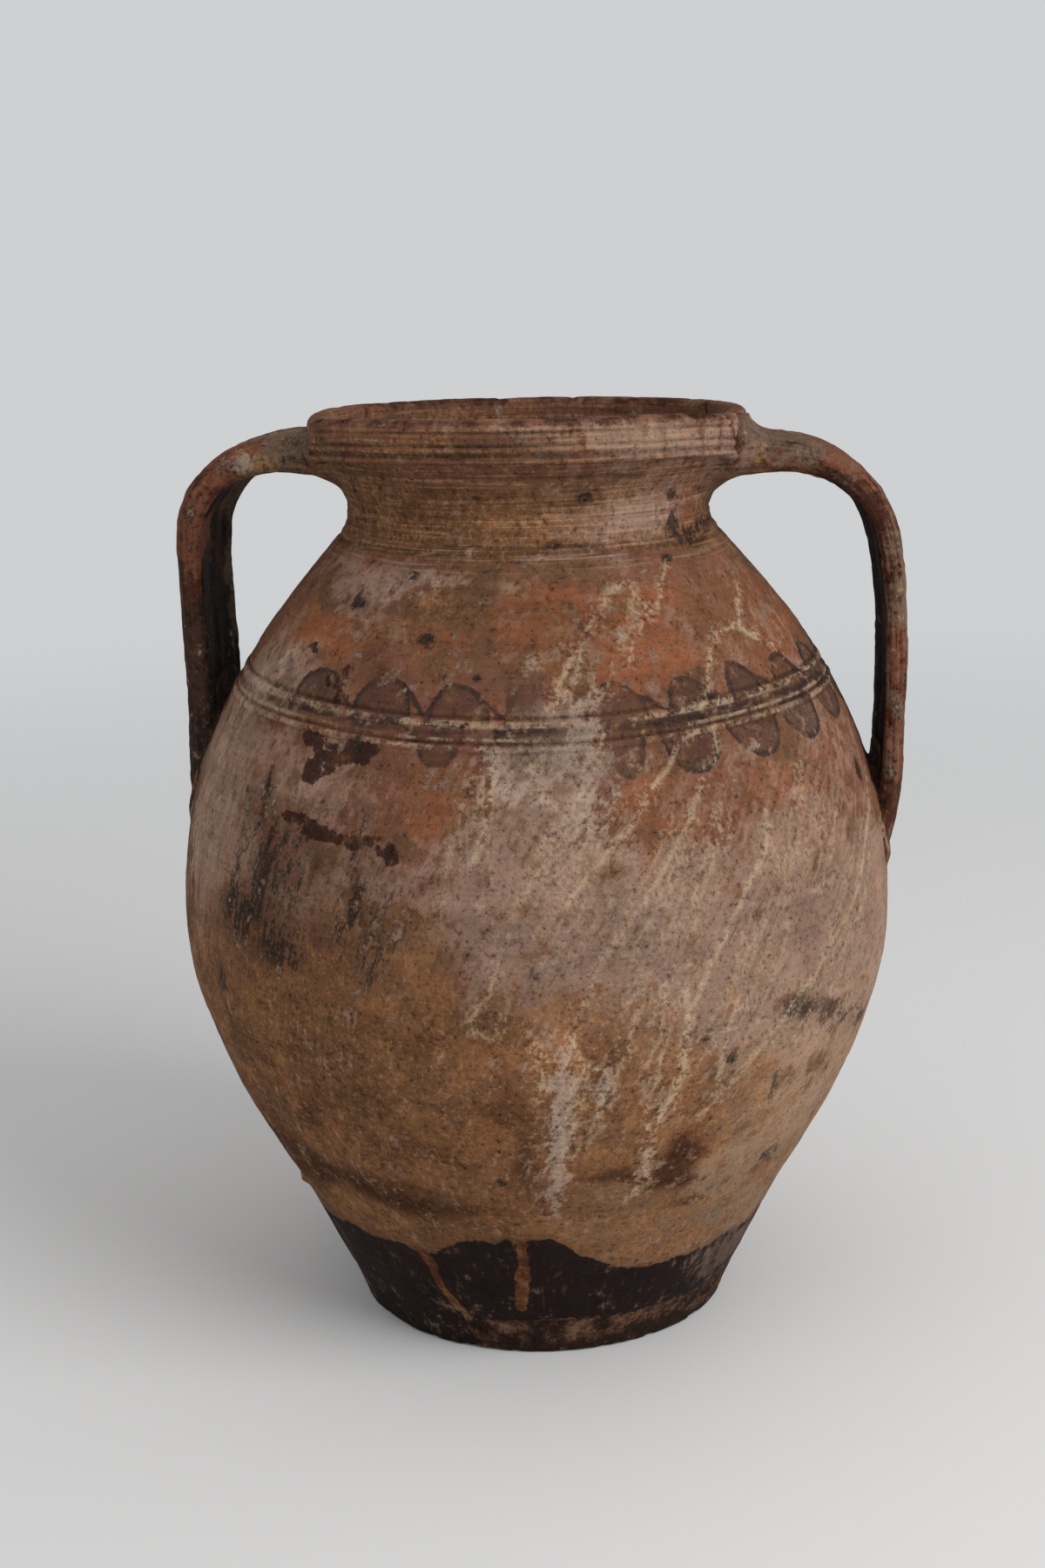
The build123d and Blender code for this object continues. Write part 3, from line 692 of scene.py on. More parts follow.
def mark_skin(mesh, points, turn, height, level, share=1.0, cavity=0.0, smear=FULL_SMEAR, soot=0.0):
    """Stores every mark and broad field that the wall carries."""
    small = np.stack([layered(points, 8, 61), layered(points, 8, 71)], 1)
    large = np.stack([layered(points, 40, 91, 4), layered(points, 40, 95, 4)], 1)
    rough = strayed(turn, height, small, 0.8, 0.8)
    soft = strayed(turn, height, large, 10, 7)
    paint, strength = nearest(rough, PAINT_MARKS)
    lime, _ = nearest(rough, STREAK_MARKS)
    splash, _ = nearest(strayed(turn, height, small, 2.0, 1.7), SPLASH_MARKS)
    runs, _ = nearest(rough, RUN_MARKS)
    edge = layered(points, 12, 81) * 1.2
    top, low = round_jar(GLAZE_TOP, turn), round_jar(GLAZE_BOTTOM, turn)
    glaze = np.minimum(top - height + edge, (height - low + edge) * 0.8)
    # soot adds the soot colour evenly; on the lower pats this is painted shade
    black = fields(rough, SOOT) * share + soot
    ash = np.clip(smear / FULL_SMEAR, 0, 1) * (height > ASH_FOOT)
    store(mesh, "marks", paint, lime, splash)
    store(mesh, "glazing", np.clip(glaze, -8, 8), runs, strength * share)
    store(mesh, "tones", *(fields(soft, blots) * share for blots in (WARM, FILM, CRUST)))
    store(mesh, "stains", fields(soft, TAN) * share, fields(soft, DARK) * share, black)
    store(mesh, "level", level, cavity, fields(rough, BLOOM) * share)
    store(mesh, "flow", *flowed(points, turn, height, bpy.context.scene.jar_form.twist).T)
    store(mesh, "wash", fields(soft, LIGHT) * share, round_jar(BAND_CREAM, turn), ash)


# Handles

# Middle line of each strap from the collar to the belly: radius and height
LEFT_ROUTE = (
    (96, 421), (107, 420.9), (117.9, 420.3), (136.3, 415.1), (149, 405.3), (156.2, 393.2), (158.7, 376.6),
    (159, 350.7), (157.3, 306.3), (157.4, 269.3), (156.9, 252), (155.6, 236),
)
RIGHT_ROUTE = (
    (96, 417.5), (107, 417.3), (119.8, 416.7), (136.1, 413.5), (154.5, 400.8), (163.3, 388), (167.6, 372.9),
    (171, 344.2), (171.5, 323.1), (170.4, 281), (167.1, 246), (159, 219),
)
# Sections of each strap: share of its length, width and thickness
LEFT_STATIONS = (
    (0, 73.1, 16.6), (0.10, 66.2, 16.1), (0.19, 63, 15.1), (0.27, 61.7, 14), (0.36, 61.1, 13.5),
    (0.48, 60.5, 13), (0.62, 61.1, 13), (0.76, 63, 13), (0.88, 66.8, 13), (1, 74.3, 13),
)
RIGHT_STATIONS = (
    (0, 67.3, 15), (0.10, 60.9, 14.5), (0.19, 58, 13.9), (0.27, 56.8, 12.8), (0.36, 56.3, 11.7),
    (0.48, 55.7, 10.8), (0.62, 56.3, 10.1), (0.76, 58, 9.7), (0.88, 61.5, 9.5), (1, 68.4, 9.5),
)


def fillet(gap, reach):
    """How far a surface swells where another meets it squarely, the gap away."""
    gap = np.clip(gap, 0, reach)
    return np.minimum((np.sqrt(reach) - np.sqrt(gap)) ** 2, 0.5 * reach)


# Smeared fillets at the lower roots in mm: inside, outside and beside the strap
LOWER_FILLETS = (5, 4, 4)


class Strap:
    """Shape of one pulled strap in mm: its middle line, width and thickness."""

    def __init__(self, name, node, route, stations, azimuth, seed, bow, fillets, wear, blots, dents):
        self.name, self.node, self.azimuth, self.seed, self.bow = name, node, azimuth, seed, bow
        self.fillets, self.wear, self.blots, self.dents = fillets, wear, blots, dents
        self.side = 1 if azimuth < 90 else -1
        route, stations = np.array(route, float), np.array(stations, float)
        steps = np.concatenate(([0], np.cumsum(np.hypot(*np.diff(route, axis=0).T))))
        self.length = steps[-1]
        self.to_r = natural_spline(tuple(zip(steps / steps[-1], route[:, 0])))
        self.to_z = natural_spline(tuple(zip(steps / steps[-1], route[:, 1])))
        self.width = natural_spline(stations[:, :2])
        self.thick = natural_spline(stations[:, (0, 2)])

    def sway(self, share):
        """How far the middle line strays sideways."""
        return self.bow * np.sin(share * pi) + 0.7 * np.sin(share * 11 + self.seed)

    def frame(self, share):
        """Middle line and its outward direction, in the strap's own plane."""
        r, z = self.to_r(share), self.to_z(share)
        before, after = share - 1e-3, share + 1e-3
        dr, dz = self.to_r(after) - self.to_r(before), self.to_z(after) - self.to_z(before)
        size = np.hypot(dr, dz)
        return r, z, -dz / size, dr / size

    def gap(self, points):
        """Distance of points outside the strap, and how much they lie on its outer side, -1 to 1."""
        local = turned(points, -self.azimuth)
        shares = np.linspace(0, 1, 120)
        r, z, ur, uz = self.frame(shares)
        far = np.hypot(local[:, 0, None] - r, local[:, 2, None] - z)
        i = far.argmin(1)
        ahead = (local[:, 0] - r[i]) * uz[i] - (local[:, 2] - z[i]) * ur[i]
        share = np.clip(shares[i] + ahead / self.length, 0, 1)
        r, z, ur, uz = self.frame(share)
        up = (local[:, 0] - r) * ur + (local[:, 2] - z) * uz
        along = np.where((share == 0) | (share == 1), (local[:, 0] - r) * uz - (local[:, 2] - z) * ur, 0)
        half = self.thick(share) / 2
        beside = np.abs(local[:, 1] - self.sway(share)) - (self.width(share) / 2 - half)
        d = np.sqrt(np.clip(beside, 0, None) ** 2 + up ** 2 + along ** 2)
        return d - half, up / np.maximum(d, 1e-6)

    def reach(self, height, side):
        """Size of the smeared fillet round the strap's roots."""
        above = ease(height, 330, 360)
        pairs = zip(LOWER_FILLETS, self.fillets)
        inner, outer, beside = (low + (high - low) * above for low, high in pairs)
        return beside + (np.where(side < 0, inner, outer) - beside) * side ** 2


# Tones on a strap by their kind: place in mm, size and amount
LEFT_BLOTS = {
    "bloomed": (
        # The last blot of this line, at y 25, is a painted highlight on the far edge of the inner side
        (-131, -31, 418, 8, 1.3), (-147, -31, 409, 5, 1), (-149, 25, 372, 6, 0.8),
    ),
    "greyed": (
        (-105, -25, 424, 18, 1), (-112, 0, 428, 24, 0.7), (-98, -32, 420, 14, 0.8),
        # These three blots, at y 22 to 28, are a painted highlight on the far edge of the inner side
        (-142, 22, 397, 14, 1.6), (-149, 27, 362, 13, 1.5), (-150, 28, 338, 12, 1.2),
        (-151, 4, 352, 7, 0.8),
    ),
    "rubbed": (
        (-127, -28, 427, 12, 1.5), (-140, -28, 418, 9, 0.9), (-156, -28, 385, 26, 0.5),
        (-151, -31, 372, 10, 0.5), (-151, -31, 340, 12, 0.5), (-149, -31, 312, 9, 0.7),
        (-160, 0, 378, 20, 0.5), (-150, -12, 386, 10, 1.3), (-151, -16, 330, 18, 0.5),
        (-150, 10, 400, 22, 0.4),
    ),
    "creamy": (
        (-122, -32, 416, 8, 0.8),
    ),
    "blackened": (
        (-118, -30, 424, 7, 0.9), (-112, -30, 415, 5, 0.9), (-134, -32, 412, 6, 0.9),
        (-163, -12, 368, 13, 1.1), (-162, -28, 300, 34, 0.9), (-162, -28, 250, 34, 0.7),
        (-163, -30, 340, 16, 0.8), (-145, -31, 392, 7, 0.7), (-146, -30, 350, 7, 0.5),
        (-162, 0, 330, 30, 0.4), (-147, 6, 388, 6, 1.2), (-165, 10, 360, 40, 0.3),
        (-151, 20, 300, 22, 0.3),
    ),
}
RIGHT_BLOTS = {
    "bloomed": (
        (120, -20, 424, 18, 0.5),
    ),
    "greyed": (
        (134, -26, 420, 9, 0.9), (104, -24, 428, 10, 0.6), (122, -10, 426, 14, 0.7),
        (176, -10, 350, 26, 0.6), (112, -26, 424, 14, 0.5), (178, 0, 300, 44, 0.6),
        (176, 0, 400, 26, 0.6), (178, 10, 250, 30, 0.5),
    ),
    "rubbed": (
        (112, -30, 414, 8, 1.2), (126, -30, 412, 8, 0.9), (171, -30, 330, 22, 0.6),
        (150, 0, 408, 12, 0.8), (176, -28, 280, 20, 0.5), (172, -28, 322, 7, 0.9),
        (140, -14, 421, 12, 0.7),
    ),
    "creamy": (
        (176, -24, 330, 12, 0.4), (104, -32, 414, 12, 0.5), (161, -29, 392, 8, 1.3),
        (165, -28, 381, 6, 1), (175, -28, 352, 9, 0.7),
    ),
    "blackened": (
        (146, -30, 407, 8, 1), (166, -30, 372, 9, 0.8), (170, -30, 290, 16, 0.5), (150, -28, 399, 12, 1),
        (137, -29, 410, 9, 1.1), (120, -30, 418, 6, 1), (170, -28, 250, 16, 0.4), (166, -30, 360, 9, 0.7),
        (168, -30, 340, 8, 0.5),
    ),
}
# Small hollows pressed or broken out of a strap: place in mm, size and depth
LEFT_DENTS = (
    (-114, -29, 423, 2.6, 1.8), (-119, -30, 419, 3, 1.4), (-111, -31, 417, 2.2, 1.2),
    (-147, 6, 388, 5, 0.8),
)
RIGHT_DENTS = (
    (108, -29, 419, 2.6, 1.2), (124, -28, 421, 4, 0.8), (171, -28, 352, 3, 0.9), (145, -28, 410, 4, 0.7),
)
STRAPS = (
    Strap(
        "left_strap", "left_handle", LEFT_ROUTE, LEFT_STATIONS, azimuth=177.25, seed=100, bow=1.2,
        fillets=(8, 5, 8), wear=0.2, blots=LEFT_BLOTS, dents=LEFT_DENTS,
    ),
    Strap(
        "right_strap", "right_handle", RIGHT_ROUTE, RIGHT_STATIONS, azimuth=2.75, seed=140, bow=-1.0,
        fillets=(9, 18, 14), wear=0.32, blots=RIGHT_BLOTS, dents=RIGHT_DENTS,
    ),
)
# Pats of clay in the corners at the roots: name, node, slot, corner in the strap's plane, half sizes,
# fillet, strap, seed
PATS = (
    ("left_upper_pat", "left_handle_upper_wad", "neck_clay", (94.0, 0, 411), (30, 42, 26), 19.0, 0, 200),
    ("right_upper_pat", "right_handle_upper_wad", "neck_clay", (92.5, 0, 408), (32, 41, 28), 23.0, 1, 210),
    ("left_lower_pat", "left_handle_lower_wad", "belly_clay", (151.0, 0, 294), (14, 36, 26), 8.0, 0, 220),
    ("right_lower_pat", "right_handle_lower_wad", "belly_clay", (165.6, 0, 252), (12, 33, 27), 7.0, 1, 230),
)
# Heights between which the wall swells towards the straps, and how far to each side in degrees
ROOT_ZONES = ((376, 441), (190, 320))
ROOT_BREADTH = 40
# Least radius of the straps and the pats inside the collar
COLLAR_CORE = 98.5


def wall_gap(points):
    """Rough distance of places outside the wall and the collar."""
    _, height, r = polar(points)
    slope = (radius_at(height + 1) - radius_at(height - 1)) / 2
    off = (r - radius_at(height)) / np.hypot(1, slope)
    middle, half, edge = (LIP + COLLAR_JOINT[0]) / 2, (LIP - COLLAR_JOINT[0]) / 2, 2
    beside = np.clip(r - (COLLAR_RADIUS - edge), 0, None)
    above = np.clip(np.abs(height - middle) - (half - edge), 0, None)
    return np.clip(np.minimum(off, np.hypot(beside, above) - edge), 0, None)


def off_handles(turn):
    """Degrees from the middle of the nearer handle."""
    return np.abs(np.abs(wrapped(turn)) - HANDLE_TURN)


def root_size(form, strap, points, facing):
    """Size of the smeared fillet round a strap's roots, in mm."""
    uneven = 1 + 0.3 * noise(points, 15, 51)
    return strap.reach(points[:, 2], facing) * (form.root / MM / ROOT_FILLET) * uneven


def swell(form, points, turn, height):
    """How far the wall's skin swells towards the roots of the straps."""
    out = np.zeros(len(turn))
    at_root = np.zeros(len(turn), bool)
    for low, high in ROOT_ZONES:
        at_root |= (height > low) & (height < high)
    at_root &= off_handles(turn) < ROOT_BREADTH
    for strap in STRAPS:
        near = np.flatnonzero(at_root & (np.sign(turn) == strap.side))
        if len(near):
            gap, facing = strap.gap(points[near])
            out[near] = np.maximum(out[near], fillet(gap, root_size(form, strap, points[near], facing)))
    return out


def cut_rows(bm, cuts):
    """Cuts the upright edges of a fresh cylinder into rows."""
    upright = [e for e in bm.edges if abs(e.verts[0].co.z - e.verts[1].co.z) > 0.5]
    bmesh.ops.subdivide_edges(bm, edges=upright, cuts=cuts, use_grid_fill=True)


def add_object(name, bm):
    """Turns a bmesh into an object of the scene."""
    mesh = bpy.data.meshes.new(name)
    bm.to_mesh(mesh)
    bm.free()
    made = bpy.data.objects.new(name, mesh)
    bpy.context.scene.collection.objects.link(made)
    return made


def tube(name, around, along):
    """A closed round bar along Z, from -0.5 to 0.5, cut into rows."""
    bm = bmesh.new()
    bmesh.ops.create_cone(bm, cap_ends=True, segments=around, radius1=1, radius2=1, depth=1)
    cut_rows(bm, along)
    bmesh.ops.recalc_face_normals(bm, faces=bm.faces[:])
    for face in bm.faces:
        face.smooth = len(face.verts) == 4
    return add_object(name, bm)


def keep_out(points, depth):
    """Keeps places out of the jar's inside."""
    turn, height, r = polar(points)
    least = np.where(height > COLLAR_JOINT[0], COLLAR_CORE, radius_at(height) - depth)
    return from_polar(turn, height, np.maximum(r, least))


def waver(form, points):
    """How far the thrown wall strays from true, in mm."""
    return form.waver / MM * (noise(points, 110, 3) + 0.35 * noise(points, 38, 4))


def spokes(points):
    """Level directions from the jar's axis to each place."""
    return np.array((1, 1, 0)) * points / np.hypot(points[:, 0], points[:, 1])[:, None]


def spot(points, place, size):
    """1 at a place, falling to 0 within about twice the size."""
    return np.exp(-((points - np.array(place)) ** 2).sum(1) / size ** 2)


def bar_section(places, width, thick):
    """Makes a round section a flat bar with round edges: the ways out of the strap and across it."""
    half = thick / 2
    flat = width / 2 - half
    rim = pi * half
    # The way round goes from the middle of one edge over the outer face and the inner one
    way = (np.arctan2(places[:, 1], places[:, 0]) / (2 * pi) % 1) * (4 * flat + 2 * rim)
    way = np.where(way > 4 * flat + 1.5 * rim, way - 4 * flat - 2 * rim, way)
    first = way < rim / 2
    outer = ~first & (way < rim / 2 + 2 * flat)
    last = ~first & ~outer & (way < 1.5 * rim + 2 * flat)
    bend = np.where(first, way / half, (way - rim / 2 - 2 * flat) / half + pi / 2)
    run = way - rim / 2
    y = np.where(last, -flat + half * np.cos(bend), -flat + (run - 2 * flat - rim))
    y = np.where(first, flat + half * np.cos(bend), np.where(outer, flat - run, y))
    x = np.where(first | last, half * np.sin(bend), np.where(outer, half, -half))
    return x, y


def shape_strap(strap, form):
    """A pulled strap: round edges, crowned outside, hollow inside, ridged along by the potter's hand."""
    around, along = ((128, 330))
    made = tube(strap.name, around, along)
    base = coordinates(made.data) * MM
    share = np.clip(base[:, 2] + 0.5, 0, 1)
    width, thick = strap.width(share), strap.thick(share)
    x, y = bar_section(base, width, thick)
    across = y / (width / 2)
    facing = x / (thick / 2)
    edge = np.abs(across)
    # The crown and the hollow, the ridges that the hand drew, and a raised line near each edge
    middle = 1 - np.clip(edge, 0, 1) ** 2
    x = x + np.clip(facing, 0, 1) * (1.1 * middle) + np.clip(-facing, 0, 1) * 2.4 * middle
    x = x + 0.42 * np.cos(across * 10.5 + 0.8 * np.sin(share * 7 + strap.seed)) * facing * (1 - edge ** 6)
    x = x + 0.5 * bell(edge, 0.8, 0.1) * facing
    r, z, ur, uz = strap.frame(share)
    zero = np.zeros(len(share))
    up = np.stack([ur, zero, uz], 1)
    points = np.stack([r, zero, z], 1) + up * x[:, None]
    points[:, 1] += y + strap.sway(share)
    outward = up * facing[:, None]
    outward[:, 1] = np.sign(y) * np.sqrt(np.clip(1 - facing ** 2, 0, 1))
    points, outward = turned(points, strap.azimuth), turned(outward, strap.azimuth)
    seed = strap.seed
    bumps = 0.5 * noise(points, 19, seed) + 0.35 * noise(points, 7, seed + 1)
    bumps += 0.2 * noise(points, 3, seed + 2)
    chipped = ease(noise(points, 9, seed + 3) + 0.4 * noise(points, 3, seed + 4), 0.5, 0.9)
    bumps -= 0.9 * chipped * edge ** 6
    for *place, size, depth in strap.dents:
        bumps -= depth * spot(points, place, size)
    joined = fillet(wall_gap(points), root_size(form, strap, points, np.clip(facing, -1, 1)))
    points = points + outward * (bumps * (1 - ease(joined, 0.2, 3.0)) + joined)[:, None]
    points = points + spokes(points) * (ease(joined, 0.0, 2.0) * waver(form, points))[:, None]
    move_to(made.data, keep_out(points, 5.0))
    return made, coordinates(made.data), share, facing, across


def mark_strap(strap, mesh, points, share, facing, across):
    """Tones of a strap: rubbed edges, a hollow side made black partly by grime and partly as painted shade,
    a painted grey highlight along its far edge towards the back, and the noted blots.
    """
    inner = ease(-facing, 0.35, 0.9) * ease(0.97 - np.abs(across), 0.0, 0.1)
    outer = ease(facing, 0.3, 0.9)
    far = ease(turned(points, -strap.azimuth)[:, 1] * strap.side, 14, 26)
    rough = layered(points, 26, strap.seed + 9)
    top = ease(points[:, 2], 395, 415)
    root = 1 - ease(share, 0.09, 0.2)
    warped = points + rough[:, None] * 3
    spots = {
        kind: sum(amount * spot(warped, place, size) for *place, size, amount in blots)
        for kind, blots in strap.blots.items()
    }
    # Painted shade: the inner side facing the jar is darkened, less towards its far edge, near the top and
    # at the root
    hidden = inner * (1.15 - 0.55 * far) * (1 - 0.5 * top) * (1 - root)
    hidden += rough * 0.15 - 0.6 * spots["rubbed"] - 0.6 * spots["greyed"]
    worn = strap.wear + 0.25 * outer + 0.15 * rough + spots["rubbed"] + 0.15 * top + 0.2 * root
    # Painted highlight: far * inner makes the far edge of the inner side grey; the other terms are grey
    # dust and blots
    grey = 0.05 + 0.3 * far * inner + 0.2 * top + 0.25 * root + spots["greyed"] - 0.5 * spots["rubbed"]
    black = 0.1 - 0.2 * rough + spots["blackened"] * (1 - 0.6 * root)
    store(mesh, "tones", hidden, worn, grey)
    store(mesh, "stains", spots["creamy"] + 0.2 * root, black, spots["bloomed"] * 0.7)
    store(mesh, "flow", across * strap.width(share) / 2, facing * 10, share * strap.length)


def shape_pat(name, corner, sizes, reach, strap, form, seed):
    """A pat of clay that fills the corner between a strap and the wall with a hollow face."""
    bm = bmesh.new()
    bmesh.ops.create_uvsphere(bm, u_segments=128, v_segments=96, radius=1)
    bmesh.ops.recalc_face_normals(bm, faces=bm.faces[:])
    for face in bm.faces:
        face.smooth = True
    made = add_object(name, bm)
    ball = coordinates(made.data) * MM
    # Each place of the ball moves out of the corner until it meets the hollow face, by halving its way
    low, high = np.full(len(ball), 0.02), np.ones(len(ball))
    for _ in range(12):
        middle = (low + high) / 2
        local = ball * np.array(sizes) * middle[:, None] + np.array(corner)
        points = turned(local, strap.azimuth)
        taper = np.clip(1 - (local[:, 1] / sizes[1]) ** 4, 0, 1) * (1 + 0.16 * noise(points, 13, seed))
        from_strap = np.sqrt(np.clip(strap.gap(points)[0], 0, None))
        beyond = np.sqrt(wall_gap(points)) + from_strap > np.sqrt(reach * taper)
        low, high = np.where(beyond, low, middle), np.where(beyond, middle, high)
    points[:, 2] = np.minimum(points[:, 2], strap.to_z(0.0) - 3)
    bumps = 0.5 * noise(points, 11, seed) + 0.25 * noise(points, 4, seed + 1)
    moved = spokes(points) * waver(form, points)[:, None]
    points = points + moved + turned(ball, strap.azimuth) * (0.3 + bumps * taper)[:, None]
    move_to(made.data, keep_out(points, 3.0))
    return made


# Relief of the wall


# Squashes that draw noise out into rings round the jar
RINGED, SHORT_RINGED = (0.03, 0.03, 1), (0.05, 0.05, 1)
# Ledges and stripe of the band's relief: height, half width and amount
BAND_RELIEF = ((320.9, 1.5, 0.4), (311.9, 1.2, 0.25), (317.4, 1.5, -0.3))
# A crack under the band: turn and height of its points
CRACK = ((-26.6, 314.6), (-25.8, 303), (-25.0, 295), (-24.8, 286), (-23.9, 279), (-23.6, 272.6))
# A bead of clay low on the left: turn and height, and half width
BEAD, BEAD_SIZE = (-64.4, 72.1), 2.6
# How many of the lime streaks, the first ones, stand out from the wall
RAISED_STREAKS = 22
# Lines turned in the collar: half width, share of the depth, its mean, its swing, the swing's size and seed
COLLAR_TURNING = ((1.3, 1.0, 0.9, 0.5, 26, 44), (0.8, 1.0, 0.8, 0.4, 20, 45), (0.7, 0.6, 0.9, 0.5, 32, 46))
# Turn and half breadth of the droop of the collar at each side
DROOP_TURN, DROOP_BREADTH = 74, 18
# The sharpest angle of an outline that is still shaded smooth
CREASE = radians(38)


def groove(away, width, depth):
    """A pressed line: its furrow and the clay pushed up beside it."""
    return depth * (0.28 * bell(np.abs(away), 2.1 * width, 0.9 * width) - bell(away, 0, width))


def relief(form, points, turn, height):
    """How far the wall's skin stands out from the true form, in mm: the broad part and the fine part."""
    ridge, lump = form.ridge / MM, form.lump / MM * (1 - 0.6 * ease(height, 418, 421))
    out = ridge * 1.3 * noise(points, 8.5, 11, RINGED)
    out += ridge * 0.7 * noise(points, 3.4, 12, SHORT_RINGED) * (0.6 + 0.4 * noise(points, 60, 13))
    for share, size, seed in ((0.9, 17, 21), (0.8, 6, 22), (0.6, 2.8, 23)):
        out += lump * share * noise(points, size, seed)
    # The neck's own ridges, and the line at its foot
    neck = ease(height, 376, 384) * (1 - ease(height, 416, 420))
    out += neck * (0.24 * noise(points, 2.2, 31, RINGED) + 0.2 * noise(points, 1.3, 36, SHORT_RINGED))
    out += 0.5 * bell(height, 384.6, 1.1) * (0.5 + 0.6 * noise(points, 30, 32))
    out -= 0.5 * bell(height, 382.2, 1.0) * (0.7 + 0.5 * noise(points, 24, 37))
    # The hand-cut band
    depth = form.band_groove / MM * (0.9 + 0.3 * noise(points, 16, 33))
    middle = height - band_lift(turn) - 0.35 * noise(points, 24, 34)
    for line in BAND_LINES:
        out += groove(middle - line, 0.85, depth)
    out -= depth * 0.4 * bell(middle, 310.0, 0.5) * ease(noise(points, 40, 38), -0.5, 0.1)
    for level, width, amount in BAND_RELIEF:
        out += amount * bell(middle, level, width)
    # The crack, the bead and the lime
    places = Places(turn, height)
    apart, _ = nearest(places, [(CRACK, 0.0, 1, False)], 3.0)
    out -= 0.5 * bell(apart, 0, 0.7)
    chosen, x, y = places.near(BEAD, 9, 9)
    out[chosen] += 1.9 * np.exp(-(x / BEAD_SIZE) ** 2 - (y / BEAD_SIZE) ** 2)
    lime, _ = nearest(places, STREAK_MARKS[:RAISED_STREAKS], 3.0)
    out += 0.16 * (1 - ease(lime, -0.8, 0.8)) * (1 + 0.8 * noise(points, 2.6, 35))
    return waver(form, points), out


def ring_object(name, loop, form):
    """A thrown ring whose rows follow a closed outline of (radius, height, normal, skin)."""
    bm = bmesh.new()
    bmesh.ops.create_cone(bm, cap_ends=False, segments=form.turn_steps, radius1=1, radius2=1, depth=1)
    cut_rows(bm, len(loop) - 1)
    row = bm.verts.layers.int.new("row")
    for vert in bm.verts:
        n = round((vert.co.z + 0.5) * len(loop)) % len(loop)
        vert[row] = n
        vert.co = vert.co.x * loop[n][0] * MM, vert.co.y * loop[n][0] * MM, loop[n][1] * MM
    bmesh.ops.remove_doubles(bm, verts=bm.verts[:], dist=1e-7)
    bmesh.ops.recalc_face_normals(bm, faces=bm.faces[:])
    creases = [is_crease(loop, i) for i in range(len(loop))]
    for edge in bm.edges:
        a, b = edge.verts[0][row], edge.verts[1][row]
        if a == b and creases[a]:
            edge.smooth = False
    for face in bm.faces:
        face.smooth = True
    return add_object(name, bm)


def is_crease(loop, i):
    """Whether the outline turns sharply at a row, or leaves the skin there."""
    before, here, after = loop[i - 1], loop[i], loop[(i + 1) % len(loop)]
    first = Vector((here[0] - before[0], here[1] - before[1]))
    second = Vector((after[0] - here[0], after[1] - here[1]))
    if first.length < 1e-6 or second.length < 1e-6:
        return False
    leaves = here[4] == SKIN and BACK in (before[4], after[4])
    return leaves or first.angle(second) > CREASE


def settle(made, loop, form):
    """Gives a ring its tilt, relief and marks."""
    mesh = made.data
    rows = np.zeros(len(mesh.vertices), np.int32)
    mesh.attributes["row"].data.foreach_get("value", rows)
    mesh.attributes.remove(mesh.attributes["row"])
    outwards, upwards, skin = np.array([p[2:5] for p in loop], float)[rows].T
    turn, height, r = polar(coordinates(mesh))
    lift = band_lift(turn) * ease(height, 236, 300) * (1 - ease(height, 334, 378))
    on_body = (height > WALL_LOW + 1) & (height < WALL_HIGH - 0.5)
    r = r + np.where(on_body, radius_at(height + lift) - radius_at(height), 0)
    height = height + lift
    points = from_polar(turn, height, r)
    broad, fine = relief(form, points, turn, height)
    fine += edge_wear(form, points, turn, height, r)
    broad = np.where(skin == SKIN, broad, form.waver / MM * noise(points, 110, 3))
    smear = swell(form, points, turn, height) * ((skin == SKIN) & (outwards > -0.2))
    out = broad + fine * (skin == SKIN) * (1 - ease(smear, 0.2, 3.0)) + smear
    shaped = points + from_polar(turn, upwards, outwards) * out[:, None]
    # The lip is higher in front, and the collar droops towards the straps
    shaped[:, 2] += form.rim_tilt / MM * ease(height, 392, 422) * np.cos(np.radians(turn))
    shaped[:, 2] -= 2.2 * ease(height, 398, 422) * bell(np.abs(wrapped(turn)), DROOP_TURN, DROOP_BREADTH)
    shaped[:, 2] = np.maximum(shaped[:, 2], 0)
    move_to(mesh, shaped)
    # Where a strap leaves the collar, the level is raised past the turned lines, which are smeared over
    level = height - lift + np.where(height > COLLAR_JOINT[0], 60 * (1 - clear_of_roots(turn)), 0)
    mark_skin(mesh, points, turn, height, level, cavity=fine, smear=smear)


def clear_of_roots(turn):
    """1 round the jar and 0 where the straps leave the collar."""
    return ease(off_handles(turn), 15, 25)


def edge_wear(form, points, turn, height, r):
    """Chips at the lip and the foot, and the lines turned in the collar."""
    chip = form.chip / MM
    near_lip = bell(height, 438.5, 3.2) * ease(r, 94, 98)
    near_foot = bell(height, 0, 2.6) * ease(r, 85, 88)
    near_step = bell(height, 20.4, 1.6)
    rough = noise(points, 7, 41) + 0.5 * noise(points, 3.2, 42)
    big = noise(points, 26, 43)
    out = -chip * near_lip * (ease(rough + big * 0.6, 0.55, 1.0) + 0.14 * ease(rough, -0.3, 0.8))
    out -= chip * 0.4 * near_foot * ease(rough + big * 0.4, 0.3, 0.9)
    out -= chip * 0.25 * near_step * ease(rough + big * 0.5, -0.4, 0.9)
    collar = ease(height, 420.5, 421.5) * ease(r, 101, 102.5)
    depth = form.collar_groove / MM * clear_of_roots(turn)
    wavy = 0.3 * noise(points, 30, 47)
    for line, (width, share, base, swing, size, seed) in zip(COLLAR_LINES, COLLAR_TURNING):
        deep = depth * share * (base + swing * noise(points, size, seed))
        out += collar * groove(height - line - wavy, width, deep)
    out += collar * (0.3 * noise(points, 1.6, 48, (0.04, 0.04, 1)) + 0.1 * noise(points, 9, 49))
    return out


